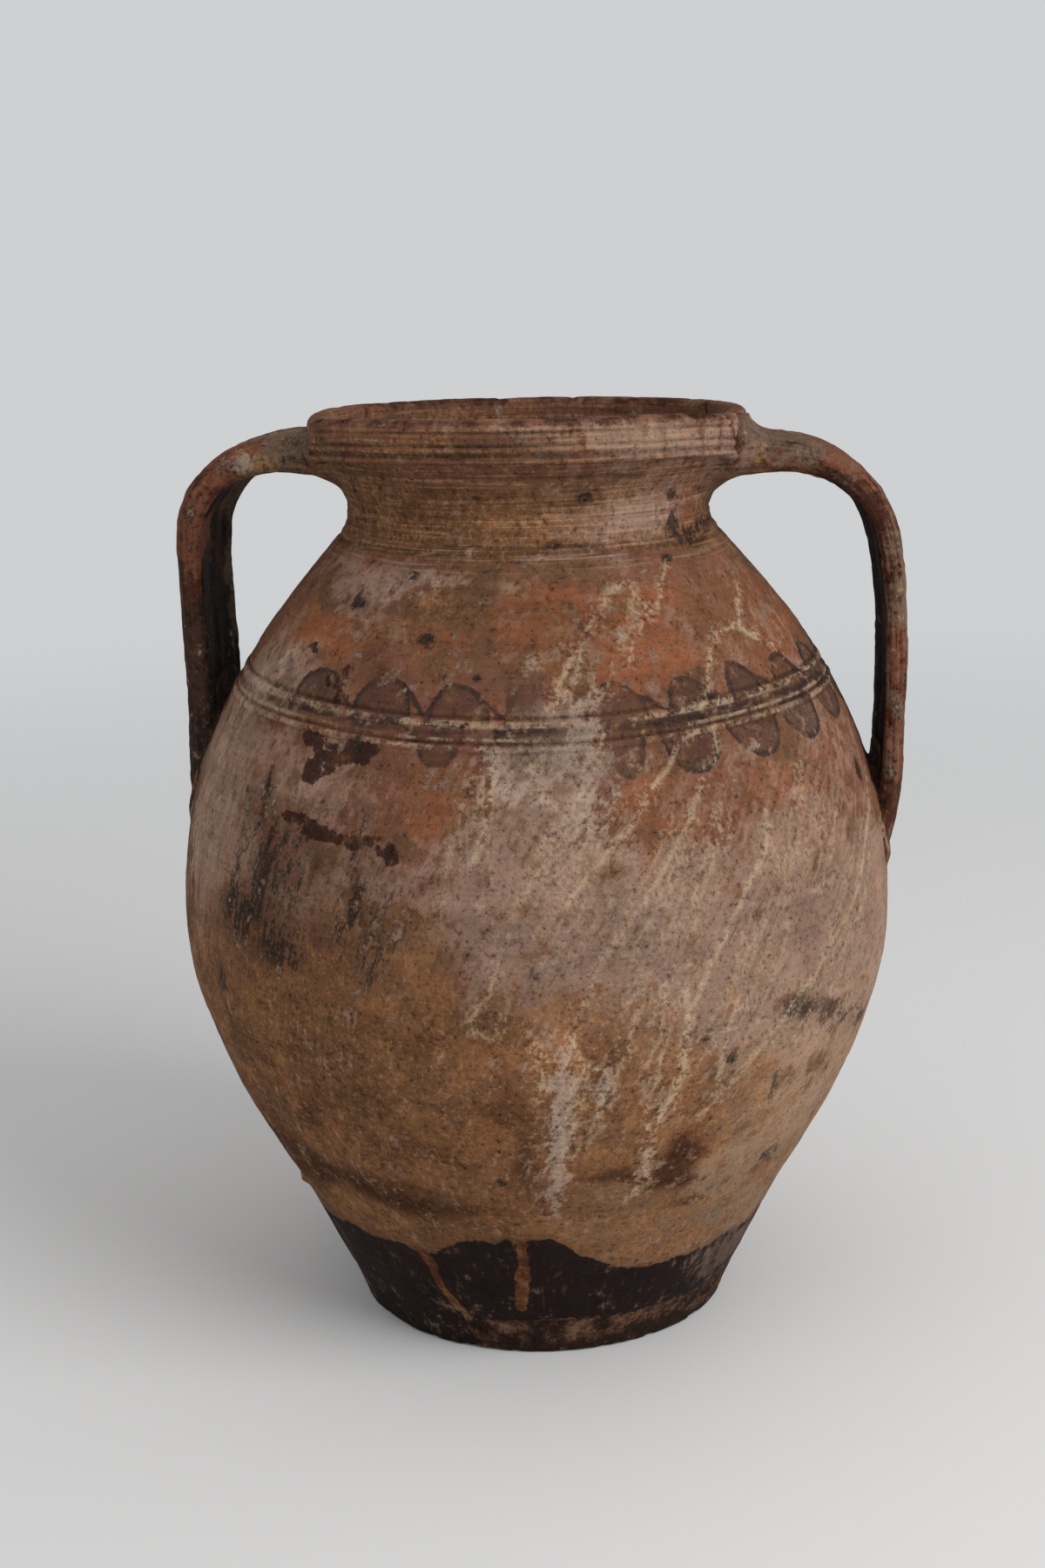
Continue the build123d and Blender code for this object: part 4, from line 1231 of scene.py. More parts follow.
def wall_rows(low, high, step, fine):
    """Heights of rows along the wall, closer together where a fine zone asks for it."""
    heights = [low]
    while heights[-1] < high - 1e-6:
        z = heights[-1]
        run = min([step] + [small for start, end, small in fine if start <= z < end])
        slope = abs(float(outside(z + 0.5) - outside(z))) / 0.5
        heights.append(z + run / (1 + slope ** 2) ** 0.5)
    heights[-1] = min(heights[-1], high)
    return heights


def wall_row(z):
    """One row of the outer wall, with its outward normal."""
    above, below = min(z + 0.05, WALL_HIGH), max(z - 0.05, WALL_LOW)
    slope = float(outside(above) - outside(below)) / (above - below)
    size = (1 + slope * slope) ** 0.5
    return (float(outside(z)), z, 1 / size, -slope / size, SKIN)


def back_rows(high, low, step):
    """Rows of the inner wall, from the top down."""
    count = max(2, int(abs(high - low) / step))
    rows = []
    for z in np.linspace(high, low, count + 1):
        slope = float(inside(z + 0.05) - inside(z - 0.05)) / 0.1
        size = (1 + slope * slope) ** 0.5
        rows.append((float(inside(z)), float(z), -1 / size, slope / size, BACK))
    return rows


def between(a, b, count, normal=(0.0, 0.0), skin=BACK):
    """Rows between two places of an outline, hidden ones on a luting line unless told otherwise."""
    return [
        (a[0] + (b[0] - a[0]) * n / count, a[1] + (b[1] - a[1]) * n / count, *normal, skin)
        for n in range(1, count)
    ]


def line_rows(a, b, step, normal, skin=SKIN):
    """Rows on a straight stretch of an outline."""
    return between(a, b, max(1, int(np.hypot(b[0] - a[0], b[1] - a[1]) / step)), normal, skin)


def arc_rows(cx, cz, size, start, end, count):
    """Rows round a rounded edge, angles in degrees from outwards towards up."""
    return [
        (cx + size * cos(a), cz + size * sin(a), cos(a), sin(a), SKIN)
        for a in np.radians(np.linspace(start, end, count))
    ]


def body_loop(low, high, step, inner_step, fine=()):
    """Closed outline of a body ring from joint to joint: outer wall up, inner wall down."""
    outer = [wall_row(z) for z in wall_rows(low[0], high[0], step, fine)]
    inner = back_rows(high[1], low[1], inner_step)
    return outer + between(outer[-1], inner[0], 3) + inner + between(inner[-1], outer[0], 3)


def finish_piece(made, slot, *nodes):
    """Ties a visual piece to the part: its body and the nodes it stands for. The slot is not used."""
    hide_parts(*nodes)
    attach(made, "root")


# Shaders


class Socket:
    """An output of a shader tree, on which Python's sums add Math nodes."""

    def __init__(self, tree, socket=None):
        self.tree = tree
        self.socket = socket

    def node(self, kind, inputs, output=0, **settings):
        """Adds any node, sets or links its inputs, and gives one output."""
        made = self.tree.nodes.new("ShaderNode" + kind)
        for key, value in settings.items():
            setattr(made, key, value)
        for key, value in inputs.items():
            if isinstance(value, Socket):
                self.tree.links.new(value.socket, made.inputs[key])
            else:
                made.inputs[key].default_value = value
        return Socket(self.tree, made.outputs[output])

    def math(self, operation, first, second=0.0):
        """Adds a Math node."""
        return self.node("Math", {0: first, 1: second}, operation=operation)

    def __add__(self, other):
        return self.math("ADD", self, other)

    def __radd__(self, other):
        return self.math("ADD", other, self)

    def __sub__(self, other):
        return self.math("SUBTRACT", self, other)

    def __rsub__(self, other):
        return self.math("SUBTRACT", other, self)

    def __mul__(self, other):
        return self.math("MULTIPLY", self, other)

    def __rmul__(self, other):
        return self.math("MULTIPLY", other, self)

    def least(self, other):
        """The smaller of two numbers."""
        return self.math("MINIMUM", self, other)

    def most(self, other):
        """The larger of two numbers."""
        return self.math("MAXIMUM", self, other)

    def size(self):
        """A number without its sign."""
        return self.math("ABSOLUTE", self)

    def clip(self):
        """A number kept from 0 to 1."""
        return self.node("Clamp", {0: self})

    def rise(self, low, high):
        """0 below low, 1 above high, smooth between; low may be the greater, for a fall."""
        inputs = {0: self, 1: low, 2: high, 3: 0.0, 4: 1.0}
        return self.node("MapRange", inputs, interpolation_type="SMOOTHSTEP")

    def mix(self, first, second):
        """Two colours, mixed by this number."""
        inputs = {0: self, 6: first, 7: second}
        return self.node("Mix", inputs, output=2, data_type="RGBA", clamp_factor=True)

    def split(self, name):
        """The three numbers of a stored vertex value."""
        value = self.node("Attribute", {}, output="Vector", attribute_name=name)
        made = self.tree.nodes.new("ShaderNodeSeparateXYZ")
        self.tree.links.new(value.socket, made.inputs[0])
        return [Socket(self.tree, output) for output in made.outputs]


class Clay:
    """A clay in the making: its stored fields, its noises, and its colour so far."""

    def __init__(self, name, colours, fields, grains):
        self.material = bpy.data.materials.new(name)
        self.material.use_nodes = True
        self.tree = self.material.node_tree
        self.tree.nodes.clear()
        self.start = Socket(self.tree)
        self.colours = colours
        self.body = None
        self.place = self.start.node("TexCoord", {}, output="Object")
        self.flow = self.start.node("Attribute", {}, output="Vector", attribute_name="flow")
        for stored, names in fields.items():
            for field, value in zip(names, self.start.split(stored)):
                setattr(self, field, value)
        for grain, settings in grains.items():
            setattr(self, grain, self.grain(*settings))

    def grain(self, size, detail, rough, shift, squash=(1, 1, 1), washed=False):
        """Noise about 0 with a spread of 1 and features of a size in mm, washed down the wall or not."""
        scale = [share / (size * (1 if washed else MM)) for share in squash]
        place = self.flow if washed else self.place
        inputs = {0: place, 1: scale, 2: (shift,) * 3}
        spot = self.start.node("VectorMath", inputs, operation="MULTIPLY_ADD")
        layers = [rough ** n for n in range(int(detail) + 1)]
        spread = NOISE_SPREAD * sum(layers) / sum(layer ** 2 for layer in layers) ** 0.5
        settings = {"Vector": spot, "Scale": 1.0, "Detail": detail, "Roughness": rough}
        return (self.start.node("TexNoise", settings) - 0.5) * spread

    def rough(self, field, **weights):
        """A field with the named noises added, each by its weight."""
        for grain, weight in weights.items():
            field = field + getattr(self, grain) * weight
        return field

    def edge(self, field, level, soft, **weights):
        """1 where the roughened field lies past a level and 0 short of it, with a soft edge."""
        return (self.rough(field, **weights) - level).rise(*soft)

    def tint(self, colour):
        """A colour of the panel by its name, or a mix that is already made."""
        return colour if isinstance(colour, Socket) else tuple(getattr(self.colours, colour))

    def blend(self, share, first, second):
        """Two colours, mixed by a share."""
        return share.mix(self.tint(first), self.tint(second))

    def coat(self, mask, colour):
        """Lays a colour over the clay where a mask says."""
        self.body = mask.mix(self.body, self.tint(colour))

    def shade(self, light, pits, depth):
        """Makes the clay lighter and darker by a number near 1, with dark pits."""
        grey = (light * (1.0 - pits * depth)).least(LIGHTEST).most(DARKEST)
        grey = self.start.node("CombineXYZ", {0: grey, 1: grey, 2: grey})
        self.body = self.start.node("VectorMath", {0: self.body, 1: grey}, operation="MULTIPLY")

    def finish(self, roughness, height, spare):
        """Joins the colour, roughness and height to a matt shader."""
        bump = self.start.node("Bump", {"Strength": 1.0, "Distance": MM, "Height": height})
        shader = self.tree.nodes.new("ShaderNodeBsdfPrincipled")
        output = self.tree.nodes.new("ShaderNodeOutputMaterial")
        self.tree.links.new(shader.outputs[0], output.inputs[0])
        for socket, value in (("Base Color", self.body), ("Roughness", roughness), ("Normal", bump)):
            self.tree.links.new(value.socket, shader.inputs[socket])
        shader.inputs["Specular IOR Level"].default_value = CLAY_SPECULAR
        self.material.diffuse_color = self.tint(spare)
        return self.material


def stripes(level, table):
    """The strongest of several level lines."""
    found = [(level - height).size().rise(far, near) * strength for height, far, near, strength in table]
    best = found[0]
    for line in found[1:]:
        best = best.most(line)
    return best


# A noise texture's own spread, the bounds of shading, and how little the clay shines
NOISE_SPREAD = 8
LIGHTEST, DARKEST = 1.6, 0.3
CLAY_SPECULAR = 0.09
# Stored values and the names of their three numbers
WALL_FIELDS = {
    "marks": ("paint", "lime", "splash"), "glazing": ("glaze", "runs", "strength"),
    "tones": ("warm", "film", "crust"), "stains": ("pale", "dark", "soot"),
    "level": ("level", "cavity", "bloom"), "wash": ("light", "cream_left", "smear"),
}
STRAP_FIELDS = {"tones": ("hollow", "rubbed", "grey"), "stains": ("cream", "black", "bloom")}
# Noises: size in mm, layers, roughness, shift, squash, and whether they run down with the wash
WALL_GRAINS = {
    "broad": (60, 3.0, 0.55, 3.1), "patch": (20, 7.0, 0.68, 7.7), "worn": (13, 8.0, 0.72, 5.9),
    "mottle": (5.5, 5.0, 0.68, 11.3), "fine": (2.2, 3.0, 0.65, 17.9), "dust": (1.1, 2.0, 0.6, 23.5),
    "grit": (1.9, 2.0, 0.6, 29.3), "flecks": (3.4, 4.0, 0.64, 53.9),
    "drips": (5, 6.0, 0.66, 31.7, (1, 1, 0.1), True),
    "lines": (1.1, 3.0, 0.6, 37.3, (0.02, 0.02, 1)), "rings": (4.5, 3.0, 0.6, 41.9, (0.03, 0.03, 1)),
}
STRAP_GRAINS = {
    "patch": (24, 7.0, 0.68, 7.7), "mottle": (7, 6.0, 0.68, 11.3), "fine": (2.4, 3.0, 0.65, 17.9),
    "dust": (1.1, 2.0, 0.6, 23.5), "combed": (3.2, 4.0, 0.62, 31.7, (1, 1, 0.06), True),
}
# Level lines: height, where they have faded, where they are full, and strength
BAND_LEDGES = ((320.9, 1.9, 0.7, 1.0), (315.1, 1.0, 0.3, 0.9), (311.8, 1.5, 0.6, 0.8))
BAND_STRIPE = ((317.5, 2.1, 0.9, 1.0),)
BAND_FURROWS = ((323.7, 0.8, 0.2, 1.0), (313.7, 0.6, 0.1, 1.0), (310.0, 0.5, 0.1, 0.7))
COLLAR_DUST = ((430.6, 1.0, 0.2, 1.0), (426.2, 1.2, 0.3, 0.8), (435.4, 0.8, 0.2, 0.6))
COLLAR_CUTS = tuple(zip(COLLAR_LINES, (1.2, 0.7, 0.6), (0.3, 0.1, 0.1), (1.0, 1.0, 0.6)))
NECK_LINE = ((383.0, 2.6, 0.4, 0.7),)
FOOT_DUST = ((14.0, 10.0, 3.0, 1.0),)
# Heights between which a zone of the jar comes and goes
BAND_ZONE = ((307.5, 309), (326, 324.6))
SCORED_ZONE = ((374, 377), (384, 381))
NECK_ZONE = ((376, 386), (423, 419))
COLLAR_ZONE = (419.6, 420.4)
LIP_ZONE = ((435.8, 437.6), (452, 442))
FOOT_ZONE = (21.5, 19.5)
# Coats of a strap: field, level, soft edge, noises, amount, colour
STRAP_COATS = (
    ("rubbed", 0.5, (-0.16, 0.24), {"patch": 0.2, "mottle": 0.08, "combed": 0.1}, 0.8, "worn"),
    ("grey", 0.5, (-0.16, 0.28), {"patch": 0.2, "mottle": 0.1, "combed": 0.06}, 0.8, "ash"),
    ("cream", 0.5, (-0.1, 0.2), {"patch": 0.16, "mottle": 0.1, "fine": 0.06}, 0.8, "ochre"),
    # The hollow coat is partly painted shade where the inner side faces the jar
    ("hollow", 0.5, (-0.15, 0.2), {"patch": 0.1, "mottle": 0.05}, 0.93, "hollow"),
    ("black", 0.55, (-0.1, 0.2), {"patch": 0.2, "mottle": 0.14}, 0.8, "soot"),
    ("bloom", 0.6, (-0.1, 0.4), {"patch": 0.2, "mottle": 0.14, "fine": 0.1}, 0.5, "bloom"),
)


def weather(c):
    """Bare orange clay, worn tan, lilac film, golden crust with its grains, and rusty stains."""
    c.body = c.blend(c.rough(c.broad * 0.5, patch=0.4).rise(-1.0, 1.0), "brown", "red")
    bare = c.edge(c.warm, 0.45, (-0.16, 0.2), patch=0.1, worn=0.07, mottle=0.03)
    glow = c.rough(c.patch * 0.5, broad=0.6).rise(-1.0, 1.2)
    c.coat(bare, c.blend(glow, "orange", "amber"))
    faded = c.rough(c.patch * 0.7, mottle=0.25, drips=0.4).rise(0.4, 2.4)
    c.coat(bare * faded * 0.5, "film")
    rubbed = c.edge(c.pale, 0.45, (-0.22, 0.28), worn=0.13, mottle=0.05)
    c.coat(rubbed * 0.9, "tan")
    hazed = c.edge(c.film, 0.45, (-0.26, 0.34), patch=0.08, worn=0.1, mottle=0.05, drips=0.09)
    c.coat(hazed * 0.82, "film")
    c.coated = c.edge(c.crust, 0.45, (-0.3, 0.28), patch=0.08, worn=0.12, mottle=0.06, drips=0.06)
    golden = c.rough(c.level.rise(150, 80), patch=0.7, broad=0.5).rise(-0.6, 1.4)
    c.coat(c.coated * 0.82, c.blend(golden * (1.0 - c.neck) * (1.0 - c.collar), "crust", "gold"))
    c.seeds = c.rough(c.grit, mottle=0.6).rise(0.9, 2.2)
    c.coat(c.coated * c.seeds * 0.5, "ochre")
    bits = c.rough(c.mottle * 0.9, dust=0.5).rise(1.1, 2.0)
    c.coat(bits * c.coated * 0.5, "orange")
    freckles = c.rough(c.flecks, worn=0.4).rise(1.4, 2.3)
    c.coat(freckles * (c.crust * 0.8 - c.film * 0.3 + 0.1).clip() * 0.45, "rust")
    ringed = c.edge(c.dark, 0.25, (-0.15, 0.25), worn=0.14, mottle=0.06)
    c.coat(ringed * 0.5, "drip")
    stained = c.edge(c.dark, 0.55, (-0.2, 0.3), worn=0.16, mottle=0.08, drips=0.06)
    c.coat(stained * 0.85, "rust")


def paint_scallops(c):
    """Scallops in slip, darker along the brush's edge and worn away in places, and red splashes."""
    ragged = c.rough(c.paint, mottle=0.1, fine=0.08)
    rim = (ragged + 2.6).rise(-0.9, 0.9)
    kept = c.edge(c.strength * 1.3 - c.bloom * 0.5, 0.3, (0.0, 0.7), patch=0.1, worn=0.1, fine=0.05)
    brushed = c.rough(rim * 0.4 + 0.6, drips=0.06, patch=0.08, mottle=0.03).clip()
    c.coat(ragged.rise(0.4, -0.5) * kept * brushed, "paint")
    c.splashed = c.edge(c.splash, 0.5, (0.3, -0.3), mottle=0.4, worn=0.4, fine=0.15)
    c.coat(c.splashed * 0.94, "splash")


def fill_band(c):
    """Cream crust along the two cut lines, brown between them, and dirt in their furrows."""
    start, end = BAND_ZONE
    zone = c.level.rise(*start) * c.level.rise(*end)
    crumbs = c.edge(c.cream_left * 0.9, 0.45, (0.0, 1.0), worn=0.3, rings=0.2, fine=0.2, drips=0.1)
    c.coat(stripes(c.level, BAND_LEDGES) * crumbs * zone * 0.72, "lime")
    brushed = c.rough(c.worn * 0.3 + 0.55, drips=0.15).clip()
    c.coat(stripes(c.level, BAND_STRIPE) * brushed * zone * 0.62, "paint")
    packed = c.rough(c.worn * 0.3 + 0.6, fine=0.15).clip()
    c.coat(stripes(c.level, BAND_FURROWS) * packed * zone * 0.7, "rust")


def draw_turned_lines(c):
    """Lines of the collar, the neck and the shoulder's top, ash on the roots, and the reddish lip."""
    dusty = c.rough(c.rings * 0.1 + 0.2, fine=0.3, mottle=0.2, worn=0.4).clip()
    c.coat(stripes(c.level, COLLAR_DUST) * c.collar * dusty * 0.85, "ochre")
    cuts = (stripes(c.level, COLLAR_CUTS) * c.collar).most(stripes(c.level, NECK_LINE))
    c.coat(cuts * c.rough(c.mottle * 0.25 + 0.45, worn=0.4).clip() * 0.7, "soot")
    sheen = c.rough(c.lines * 0.8, rings=0.1, fine=0.45, mottle=0.3).rise(0.5, 2.2)
    c.coat(sheen * (c.neck + c.collar * 0.6) * 0.6, c.blend((c.worn * 0.5 + 0.5).clip(), "ochre", "film"))
    dull = c.rough(c.lines * 0.7, fine=0.3, worn=0.4).rise(-0.6, -2.2)
    c.coat(dull * c.neck * 0.25, "rust")
    start, end = SCORED_ZONE
    scored = c.rough(c.lines, rings=0.3, worn=0.3).rise(0.5, 1.6)
    c.coat(scored * c.level.rise(*start) * c.level.rise(*end) * (c.film + 0.3).clip() * 0.65, "bloom")
    c.coat(c.smear * c.rough(c.worn * 0.2 + 0.5, mottle=0.1).clip() * 0.8, "ash")
    start, end = LIP_ZONE
    lip = c.rough(c.level, mottle=0.7).rise(*start) * c.level.rise(*end)
    c.coat(lip * 0.8, c.blend((c.worn * 0.35 + 0.5).clip(), "splash", "red"))


def stain(c):
    """Soot that runs down above the widest part, salt bloom, lime streaks with a painted shadow beside
    them, and pale specks.
    """
    running = c.level.rise(180, 205) * 0.18 + 0.06
    sooty = c.edge(c.soot + c.drips * running, 0.5, (-0.15, 0.36), worn=0.16, mottle=0.14, fine=0.1)
    c.coat(sooty * 0.93, "soot")
    c.salted = c.edge(c.bloom, 0.55, (-0.25, 0.55), worn=0.24, mottle=0.12, fine=0.1, drips=0.16)
    c.coat(c.salted * 0.72, "bloom")
    halo = c.rough(c.lime, worn=1.1).rise(4.2, -1.0) * c.rough(c.fine, mottle=0.6).rise(0.1, 1.6)
    c.coat(halo * 0.42, "lime")
    # Painted shadow: a darker rim in the rust colour about 2.4 mm outside each lime streak
    lime_shadow = c.rough((c.lime - 2.4).size(), mottle=0.5).rise(1.2, 0.0)
    c.coat(lime_shadow * c.rough(c.worn, mottle=0.5).rise(0.4, 1.6) * 0.5, "rust")
    flaked = c.rough(c.fine * 0.2 + 0.75, mottle=0.25, worn=0.4).rise(0.0, 1.2)
    c.limed = c.rough(c.lime, mottle=0.22, fine=0.2).rise(0.6, -0.6) * flaked
    c.coat(c.limed * 0.75, "lime")
    specks = c.rough(c.fine, dust=0.6).rise(2.0, 3.0)
    c.coat(specks * (c.film * 0.3 + c.crust + 0.15).clip() * 0.5, "tan")


def glaze_base(c):
    """Near-black glaze with a golden edge, clay runs through it, and the muddy foot."""
    open_clay = c.rough(c.runs, mottle=0.3).rise(-0.4, 0.6)
    c.glassy = c.rough(c.glaze, mottle=0.4, fine=0.15).rise(-0.5, 0.6) * open_clay
    bare = 1.0 - c.glassy
    edging = c.rough(c.glaze + 9.0, worn=2.4, mottle=1.0).rise(0.0, 9.0) * bare * c.level.rise(24, 34)
    c.coat(edging * 0.6, c.blend(edging * 0.5, "gold", "drip"))
    near_run = c.rough(c.runs, mottle=0.6).rise(1.4, -0.5) * (c.glaze + 4.0).rise(0.0, 3.0)
    c.coat(near_run * 0.85, c.blend((c.worn * 0.3 + 0.1).clip(), "drip", "gold"))
    # Lighter glaze where the film field is strong, mainly on the right: partly a scuffed film, partly a
    # painted sheen
    scuff_and_sheen = c.rough(c.film * 1.6, worn=0.5, drips=0.5, rings=0.2).rise(0.4, 3.0)
    c.coat(c.glassy * (0.98 - scuff_and_sheen * 0.42), "glaze")
    muddy = c.blend(c.rough(c.worn * 0.4 + 0.35, rings=0.2).clip(), "hollow", "splash")
    greyed = stripes(c.level, FOOT_DUST) * c.rough(c.worn * 0.4 + 0.45, mottle=0.2, fine=0.1).clip()
    muddy = c.blend(greyed * 0.6, muddy, "brown")
    c.coat(c.rough(c.level, mottle=0.3).rise(*FOOT_ZONE) * bare * 0.92, muddy)
    chalk = c.rough(c.fine * 0.5, mottle=0.6, worn=0.8).rise(1.3, 2.4)
    c.coat(chalk * c.level.rise(34, 22) * 0.5, "ash")


def wall_clay(name, colours):
    """Old fired clay with all its marks, read from the stored fields of the piece."""
    c = Clay(name, colours, WALL_FIELDS, WALL_GRAINS)
    start, end = NECK_ZONE
    c.neck = c.level.rise(*start) * c.level.rise(*end)
    c.collar = c.level.rise(*COLLAR_ZONE)
    for step in (weather, paint_scallops, fill_band, draw_turned_lines, stain, glaze_base):
        step(c)
    # Fine light and dark grains over all, with painted shade in the hollows of the relief and a painted
    # highlight on its ridges
    light = c.rough(c.worn * 0.06, mottle=0.07, fine=0.08, dust=0.04) * (c.crust.clip() * 0.3 + 0.5)
    light = c.rough(light + c.light + 1.0, patch=0.05, drips=0.05, rings=0.015)
    light = light + c.lines * ((c.neck + c.collar) * 0.05 + 0.03) + (c.cavity * 0.5).least(0.2).most(-0.35)
    pits = c.rough(c.fine, dust=0.7, mottle=0.4).rise(-2.1, -3.1)
    c.shade(light, pits, 0.5)
    roughness = 0.95 - c.glassy * 0.25 - c.splashed * 0.1
    height = c.rough(c.fine * 0.03, dust=0.012, mottle=0.05) + c.lines * (c.neck * 0.02 + 0.01)
    height = height + c.coated * c.seeds * 0.06 + c.limed * 0.08 + c.salted * c.fine * 0.02
    return c.finish(roughness, height + c.splashed * 0.05 - pits * 0.06, "brown")


def strap_clay(name, colours):
    """Dark fired clay of the handles: rubbed at the edges, black in the hollow partly as painted shade,
    grey in places with a painted highlight along the far inner edge.
    """
    c = Clay(name, colours, STRAP_FIELDS, STRAP_GRAINS)
    c.body = c.blend(c.rough(c.patch * 0.6, mottle=0.3).rise(-1.0, 1.2), "strap", "rust")
    for field, level, soft, weights, amount, colour in STRAP_COATS:
        c.coat(c.edge(getattr(c, field), level, soft, **weights) * amount, colour)
    specks = c.rough(c.fine, dust=0.6).rise(2.1, 3.0)
    c.coat(specks * 0.35, "ash")
    pits = c.rough(c.fine, dust=0.7, mottle=0.4).rise(-2.0, -3.0)
    c.shade(c.rough(c.patch * 0.06 + 1.0, mottle=0.08, fine=0.08, dust=0.05, combed=0.07), pits, 0.6)
    height = c.rough(c.fine * 0.04, dust=0.015, mottle=0.08, combed=0.04) - pits * 0.06
    return c.finish(c.fine * 0.02 + 0.84, height, "strap")


def dress(made, name, recipe=wall_clay):
    """Gives a piece its clay."""
    made.data.materials.append(bpy.data.materials.get(name) or recipe(name, bpy.context.scene.jar_colours))


# Operators


def row_step(share=1.0):
    """Height of a row of faces on the body in mm, times a share."""
    return bpy.context.scene.jar_form.row_step / MM * share


def build_ring(name, slot, node, loop):
    """Makes, shapes and dresses one thrown ring."""
    form = bpy.context.scene.jar_form
    made = ring_object(name, loop, form)
    settle(made, loop, form)
    dress(made, "clay body")
    finish_piece(made, slot, node)


class JAR_OT_foot(bpy.types.Operator):
    """Builds the flat foot with its floor"""

    bl_idname = "jar.foot"
    bl_label = "Foot"

    def execute(self, context):
        height, radius = OUTLINE[0]
        rounded = FOOT_RADIUS - FOOT_ROUND
        slant = (0.92, -0.39)
        loop = [(0, 0, 0, -1, BACK)] + line_rows((0, 0), (rounded, 0), 6.0, (0, -1), BACK)
        loop += arc_rows(rounded, FOOT_ROUND, FOOT_ROUND, -90, -20, 6)
        loop += line_rows((FOOT_RADIUS, FOOT_ROUND + 0.2), (radius, height), 0.9, slant)
        loop += [(radius, height, *slant, SKIN)] + between((radius, height), (60, 18), 3)
        loop += [(60, FLOOR + 0.2, 0, 1, BACK), (30, FLOOR, 0, 1, BACK), (0, FLOOR, 0, 1, BACK)]
        build_ring("foot", "foot_clay", "foot_disc", loop)
        return {"FINISHED"}


class JAR_OT_lower(bpy.types.Operator):
    """Builds the lower thrown ring"""

    bl_idname = "jar.lower"
    bl_label = "Lower wall"

    def execute(self, context):
        loop = body_loop(FOOT_JOINT, WIDE_JOINT, row_step(1.5), 14.0)
        build_ring("lower_ring", "lower_clay", "lower_wall", loop)
        return {"FINISHED"}


class JAR_OT_belly(bpy.types.Operator):
    """Builds the upper belly ring"""

    bl_idname = "jar.belly"
    bl_label = "Belly wall"

    def execute(self, context):
        step = row_step(1.08)
        fine = ((307.0, BAND_JOINT[0], step * 0.42),)
        loop = body_loop(WIDE_JOINT, BAND_JOINT, step, 14.0, fine)
        build_ring("belly_ring", "belly_clay", "belly_wall", loop)
        return {"FINISHED"}


class JAR_OT_shoulder(bpy.types.Operator):
    """Builds the shoulder ring above the incised band"""

    bl_idname = "jar.shoulder"
    bl_label = "Shoulder wall"

    def execute(self, context):
        step = row_step()
        fine = ((BAND_JOINT[0], 326.0, step * 0.45), (376, NECK_JOINT[0], step * 0.6))
        loop = body_loop(BAND_JOINT, NECK_JOINT, step, 8.0, fine)
        build_ring("shoulder_ring", "shoulder_clay", "shoulder_wall", loop)
        return {"FINISHED"}


class JAR_OT_neck(bpy.types.Operator):
    """Builds the short flaring neck"""

    bl_idname = "jar.neck"
    bl_label = "Neck"

    def execute(self, context):
        loop = body_loop(NECK_JOINT, COLLAR_JOINT, row_step(0.5), 2.0)
        build_ring("neck", "neck_clay", "neck_ring", loop)
        return {"FINISHED"}


class JAR_OT_collar(bpy.types.Operator):
    """Builds the heavy rim collar with its turned lines"""

    bl_idname = "jar.collar"
    bl_label = "Rim collar"

    def execute(self, context):
        step = row_step(0.36)
        foot, seat = OUTLINE[-1]
        low, high = foot + COLLAR_ROUND, LIP - LIP_ROUND
        under, outer = COLLAR_RADIUS - COLLAR_ROUND, COLLAR_RADIUS - LIP_ROUND
        inner = BORE_RADIUS + LIP_ROUND
        loop = [(seat, foot, 0.4, -0.9, SKIN)] + line_rows((seat, foot), (under, foot), step, (0, -1))
        loop += arc_rows(under, low, COLLAR_ROUND, -90, 0, 8)
        loop += line_rows((COLLAR_RADIUS, low), (COLLAR_RADIUS, high), step, (1, 0))
        loop += arc_rows(outer, high, LIP_ROUND, 0, 90, 12)
        loop += line_rows((outer, LIP), (inner, LIP), step * 1.4, (0, 1))
        loop += arc_rows(inner, high, LIP_ROUND, 90, 180, 10)
        loop += line_rows((BORE_RADIUS, high), (BORE_RADIUS, BORE_FOOT), step * 2.4, (-1, 0))
        loop += [(BORE_RADIUS, BORE_FOOT, -1, 0, SKIN)] + back_rows(BORE_FOOT - 0.8, COLLAR_JOINT[1], 2.0)
        loop += between((86.5, COLLAR_JOINT[1]), (seat, foot), 4)
        build_ring("collar", "rim_clay", "rim_collar", loop)
        return {"FINISHED"}


class JAR_OT_handles(bpy.types.Operator):
    """Builds the two strap handles"""

    bl_idname = "jar.handles"
    bl_label = "Strap handles"

    def execute(self, context):
        for strap in STRAPS:
            made, *shape = shape_strap(strap, context.scene.jar_form)
            mark_strap(strap, made.data, *shape)
            dress(made, "clay handles", strap_clay)
            finish_piece(made, "handle_clay", strap.node)
        return {"FINISHED"}


class JAR_OT_pats(bpy.types.Operator):
    """Builds the pats of clay at the roots of the straps"""

    bl_idname = "jar.pats"
    bl_label = "Pats of clay"

    def execute(self, context):
        for name, node, slot, corner, sizes, reach, side, seed in PATS:
            made = shape_pat(name, corner, sizes, reach, STRAPS[side], context.scene.jar_form, seed)
            points = coordinates(made.data)
            turn, height, _ = polar(points)
            level = np.where(height > ROOT_DIVIDE, 400.0, 240.0)
            # Painted shade: the lower pats sit in the shaded corners under the straps and take the soot
            # colour all over
            soot = 0.0 if corner[2] > ROOT_DIVIDE else 1.2
            mark_skin(made.data, points, turn, height, level, share=0.8, soot=soot)
            dress(made, "clay body")
            finish_piece(made, slot, node)
        return {"FINISHED"}


# Floor: half its side and where it fades, in metres
FLOOR_HALF, FLOOR_FADE = 30, (2.2, 0.5)
# Soft lamps: name, breadth and place in metres, and where they aim
LAMPS = (("key", 1.7, (1.6, -1.15, 1.45)), ("fill", 1.8, (-1.7, -1.1, 0.9)))
LAMP_AIM = (0, 0, 0.24)
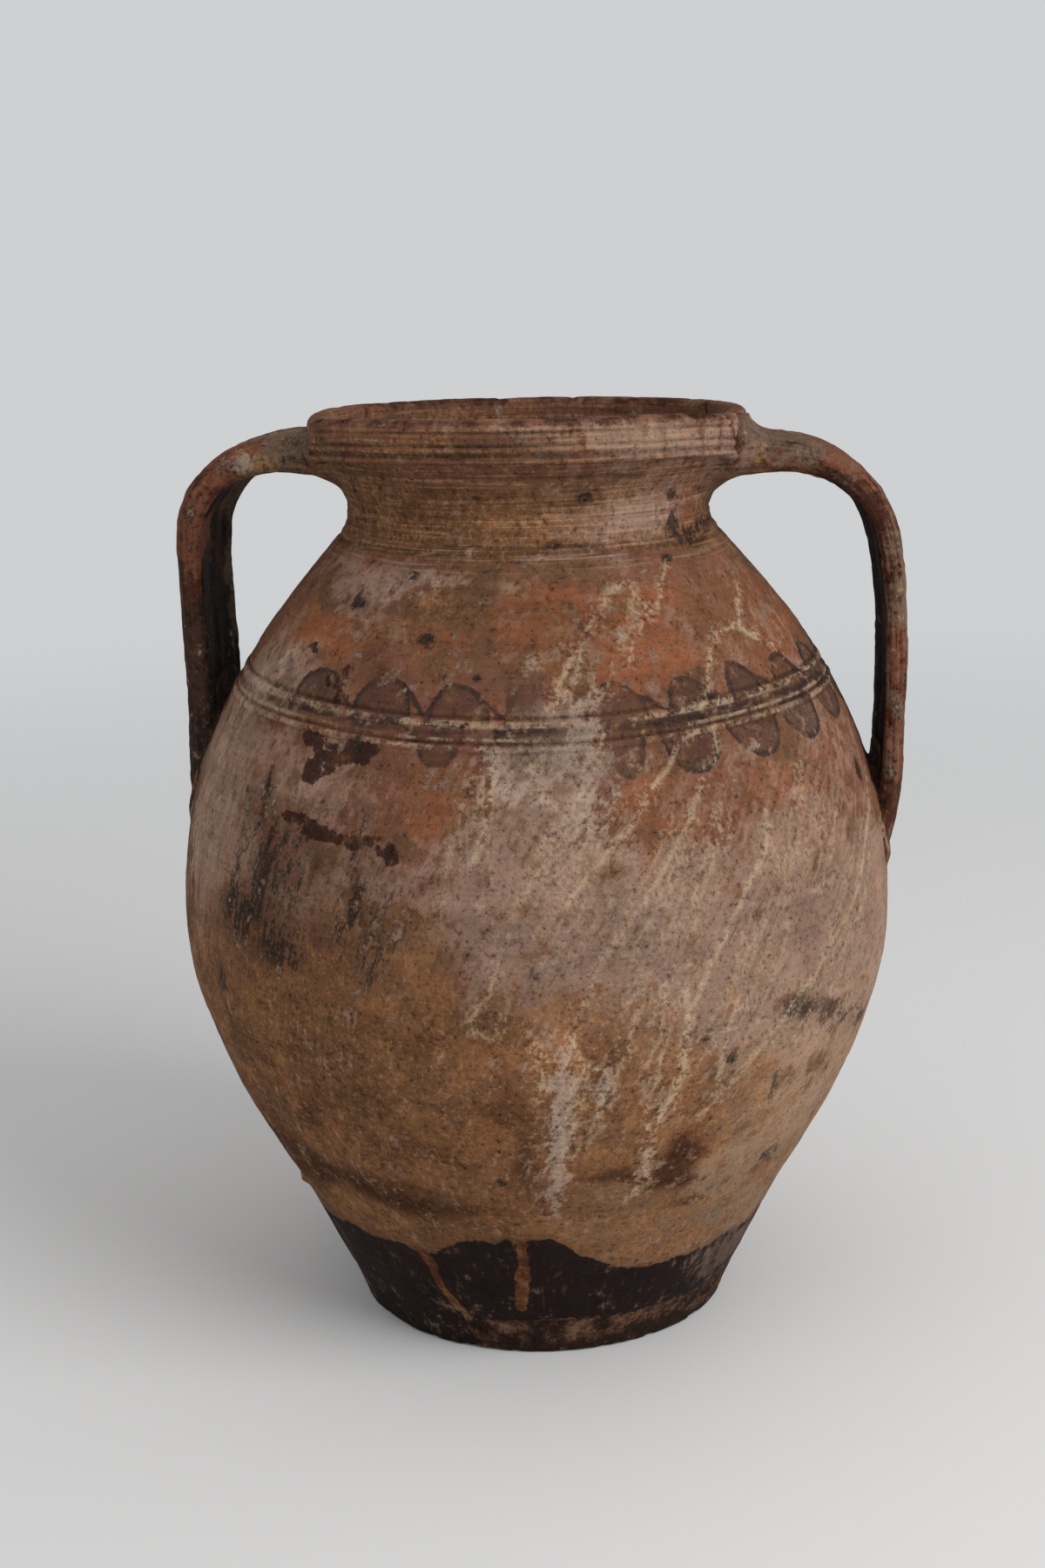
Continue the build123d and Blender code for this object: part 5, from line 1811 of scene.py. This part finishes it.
# Camera: pitch, yaw and roll, its turn about the jar in degrees, and its place before that turn
CAMERA_PITCH, CAMERA_YAW, CAMERA_ROLL, CAMERA_TURN = (radians(a) for a in (13.567, 0.31, -1.317, 5.3))
CAMERA_PLACE = (0, -1.09663, 0.52215)


class JAR_OT_stage(bpy.types.Operator):
    """Lays the floor and sets the light and the camera"""

    bl_idname = "jar.stage"
    bl_label = "Stage"

    def execute(self, context):
        stage = context.scene.jar_stage
        bm = bmesh.new()
        bmesh.ops.create_grid(bm, x_segments=2, y_segments=2, size=FLOOR_HALF)
        floor = add_object("floor", bm)
        self.floor_material(floor.data, stage)
        self.light(context, stage)
        self.camera(context, stage)
        return {"FINISHED"}

    def floor_material(self, mesh, stage):
        """A matt floor that fades into the backdrop far away."""
        material = bpy.data.materials.new("floor")
        material.use_nodes = True
        shader = material.node_tree.nodes["Principled BSDF"]
        shader.inputs["Base Color"].default_value = stage.floor
        shader.inputs["Roughness"].default_value = 1.0
        shader.inputs["Specular IOR Level"].default_value = 0.0
        start = Socket(material.node_tree)
        place = start.node("TexCoord", {}, output="Object")
        far = start.node("VectorMath", {0: place}, output="Value", operation="LENGTH")
        material.node_tree.links.new(far.rise(*FLOOR_FADE).socket, shader.inputs["Alpha"])
        mesh.materials.append(material)

    def light(self, context, stage):
        """Even light all round, a soft main light and a soft left light."""
        world = bpy.data.worlds.new("studio")
        context.scene.world = world
        world.use_nodes = True
        tree = world.node_tree
        tree.nodes.clear()
        start = Socket(tree)
        seen = start.node("LightPath", {}, output="Is Camera Ray")
        for ray in ("Is Glossy Ray", "Is Transmission Ray"):
            seen = seen.most(start.node("LightPath", {}, output=ray))
        even = start.node("Background", {0: (1, 1, 1, 1), 1: stage.ambient})
        shown = start.node("Background", {0: tuple(stage.backdrop), 1: 1.0})
        both = start.node("MixShader", {0: seen, 1: even, 2: shown})
        output = tree.nodes.new("ShaderNodeOutputWorld")
        tree.links.new(both.socket, output.inputs[0])
        for name, size, place in LAMPS:
            data = bpy.data.lights.new(name, "AREA")
            data.energy = getattr(stage, name)
            data.shape = "DISK"
            data.size = size
            lamp = bpy.data.objects.new(name, data)
            context.scene.collection.objects.link(lamp)
            lamp.location = place
            aim = Vector(LAMP_AIM) - Vector(place)
            lamp.rotation_euler = aim.to_track_quat("-Z", "Y").to_euler()

    def camera(self, context, stage):
        """A camera that looks at the jar from the front and a little from above."""
        data = bpy.data.cameras.new("camera")
        data.lens = stage.lens
        data.sensor_width = 36.0
        camera = bpy.data.objects.new("camera", data)
        context.scene.collection.objects.link(camera)
        pitch, yaw, roll = CAMERA_PITCH, CAMERA_YAW, CAMERA_ROLL
        right = Vector((cos(yaw), sin(yaw), 0))
        ahead = Vector((-sin(yaw) * cos(pitch), cos(yaw) * cos(pitch), -sin(pitch)))
        above = Vector((-sin(yaw) * sin(pitch), cos(yaw) * sin(pitch), cos(pitch)))
        side = right * cos(roll) + above * sin(roll)
        top = above * cos(roll) - right * sin(roll)
        place = Matrix((side, top, -ahead)).transposed().to_4x4()
        place.translation = Vector(CAMERA_PLACE)
        camera.matrix_world = Matrix.Rotation(CAMERA_TURN, 4, "Z") @ place
        data.clip_end = 100
        context.scene.camera = camera
        context.scene.view_settings.view_transform = "Standard"


class JAR_PT_panel(bpy.types.Panel):
    """Lists the operators that build the jar"""

    bl_label = "Olive jar"
    bl_idname = "JAR_PT_panel"
    bl_space_type = "VIEW_3D"
    bl_region_type = "UI"
    bl_category = "Olive jar"

    def draw(self, context):
        for group in ("jar_form", "jar_colours", "jar_stage"):
            data = getattr(context.scene, group)
            box = self.layout.box()
            for name in data.bl_rna.properties.keys():
                if name not in ("rna_type", "name"):
                    box.prop(data, name)
        for operator in OPERATORS:
            self.layout.operator(operator.bl_idname)


OPERATORS = (
    JAR_OT_foot, JAR_OT_lower, JAR_OT_belly, JAR_OT_shoulder, JAR_OT_neck, JAR_OT_collar,
    JAR_OT_handles, JAR_OT_pats, JAR_OT_stage,
)
GROUPS = (("jar_form", JarForm), ("jar_colours", JarColours), ("jar_stage", JarStage))


def register():
    for _, group in GROUPS:
        bpy.utils.register_class(group)
    for name, group in GROUPS:
        setattr(bpy.types.Scene, name, bpy.props.PointerProperty(type=group))
    for operator in OPERATORS:
        bpy.utils.register_class(operator)
    bpy.utils.register_class(JAR_PT_panel)


def unregister():
    bpy.utils.unregister_class(JAR_PT_panel)
    for operator in reversed(OPERATORS):
        bpy.utils.unregister_class(operator)
    for name, group in GROUPS:
        delattr(bpy.types.Scene, name)
        bpy.utils.unregister_class(group)


def main():
    register()
    for operator in OPERATORS:
        family, verb = operator.bl_idname.split(".")
        getattr(getattr(bpy.ops, family), verb)()


if __name__ == "__main__":
    main()
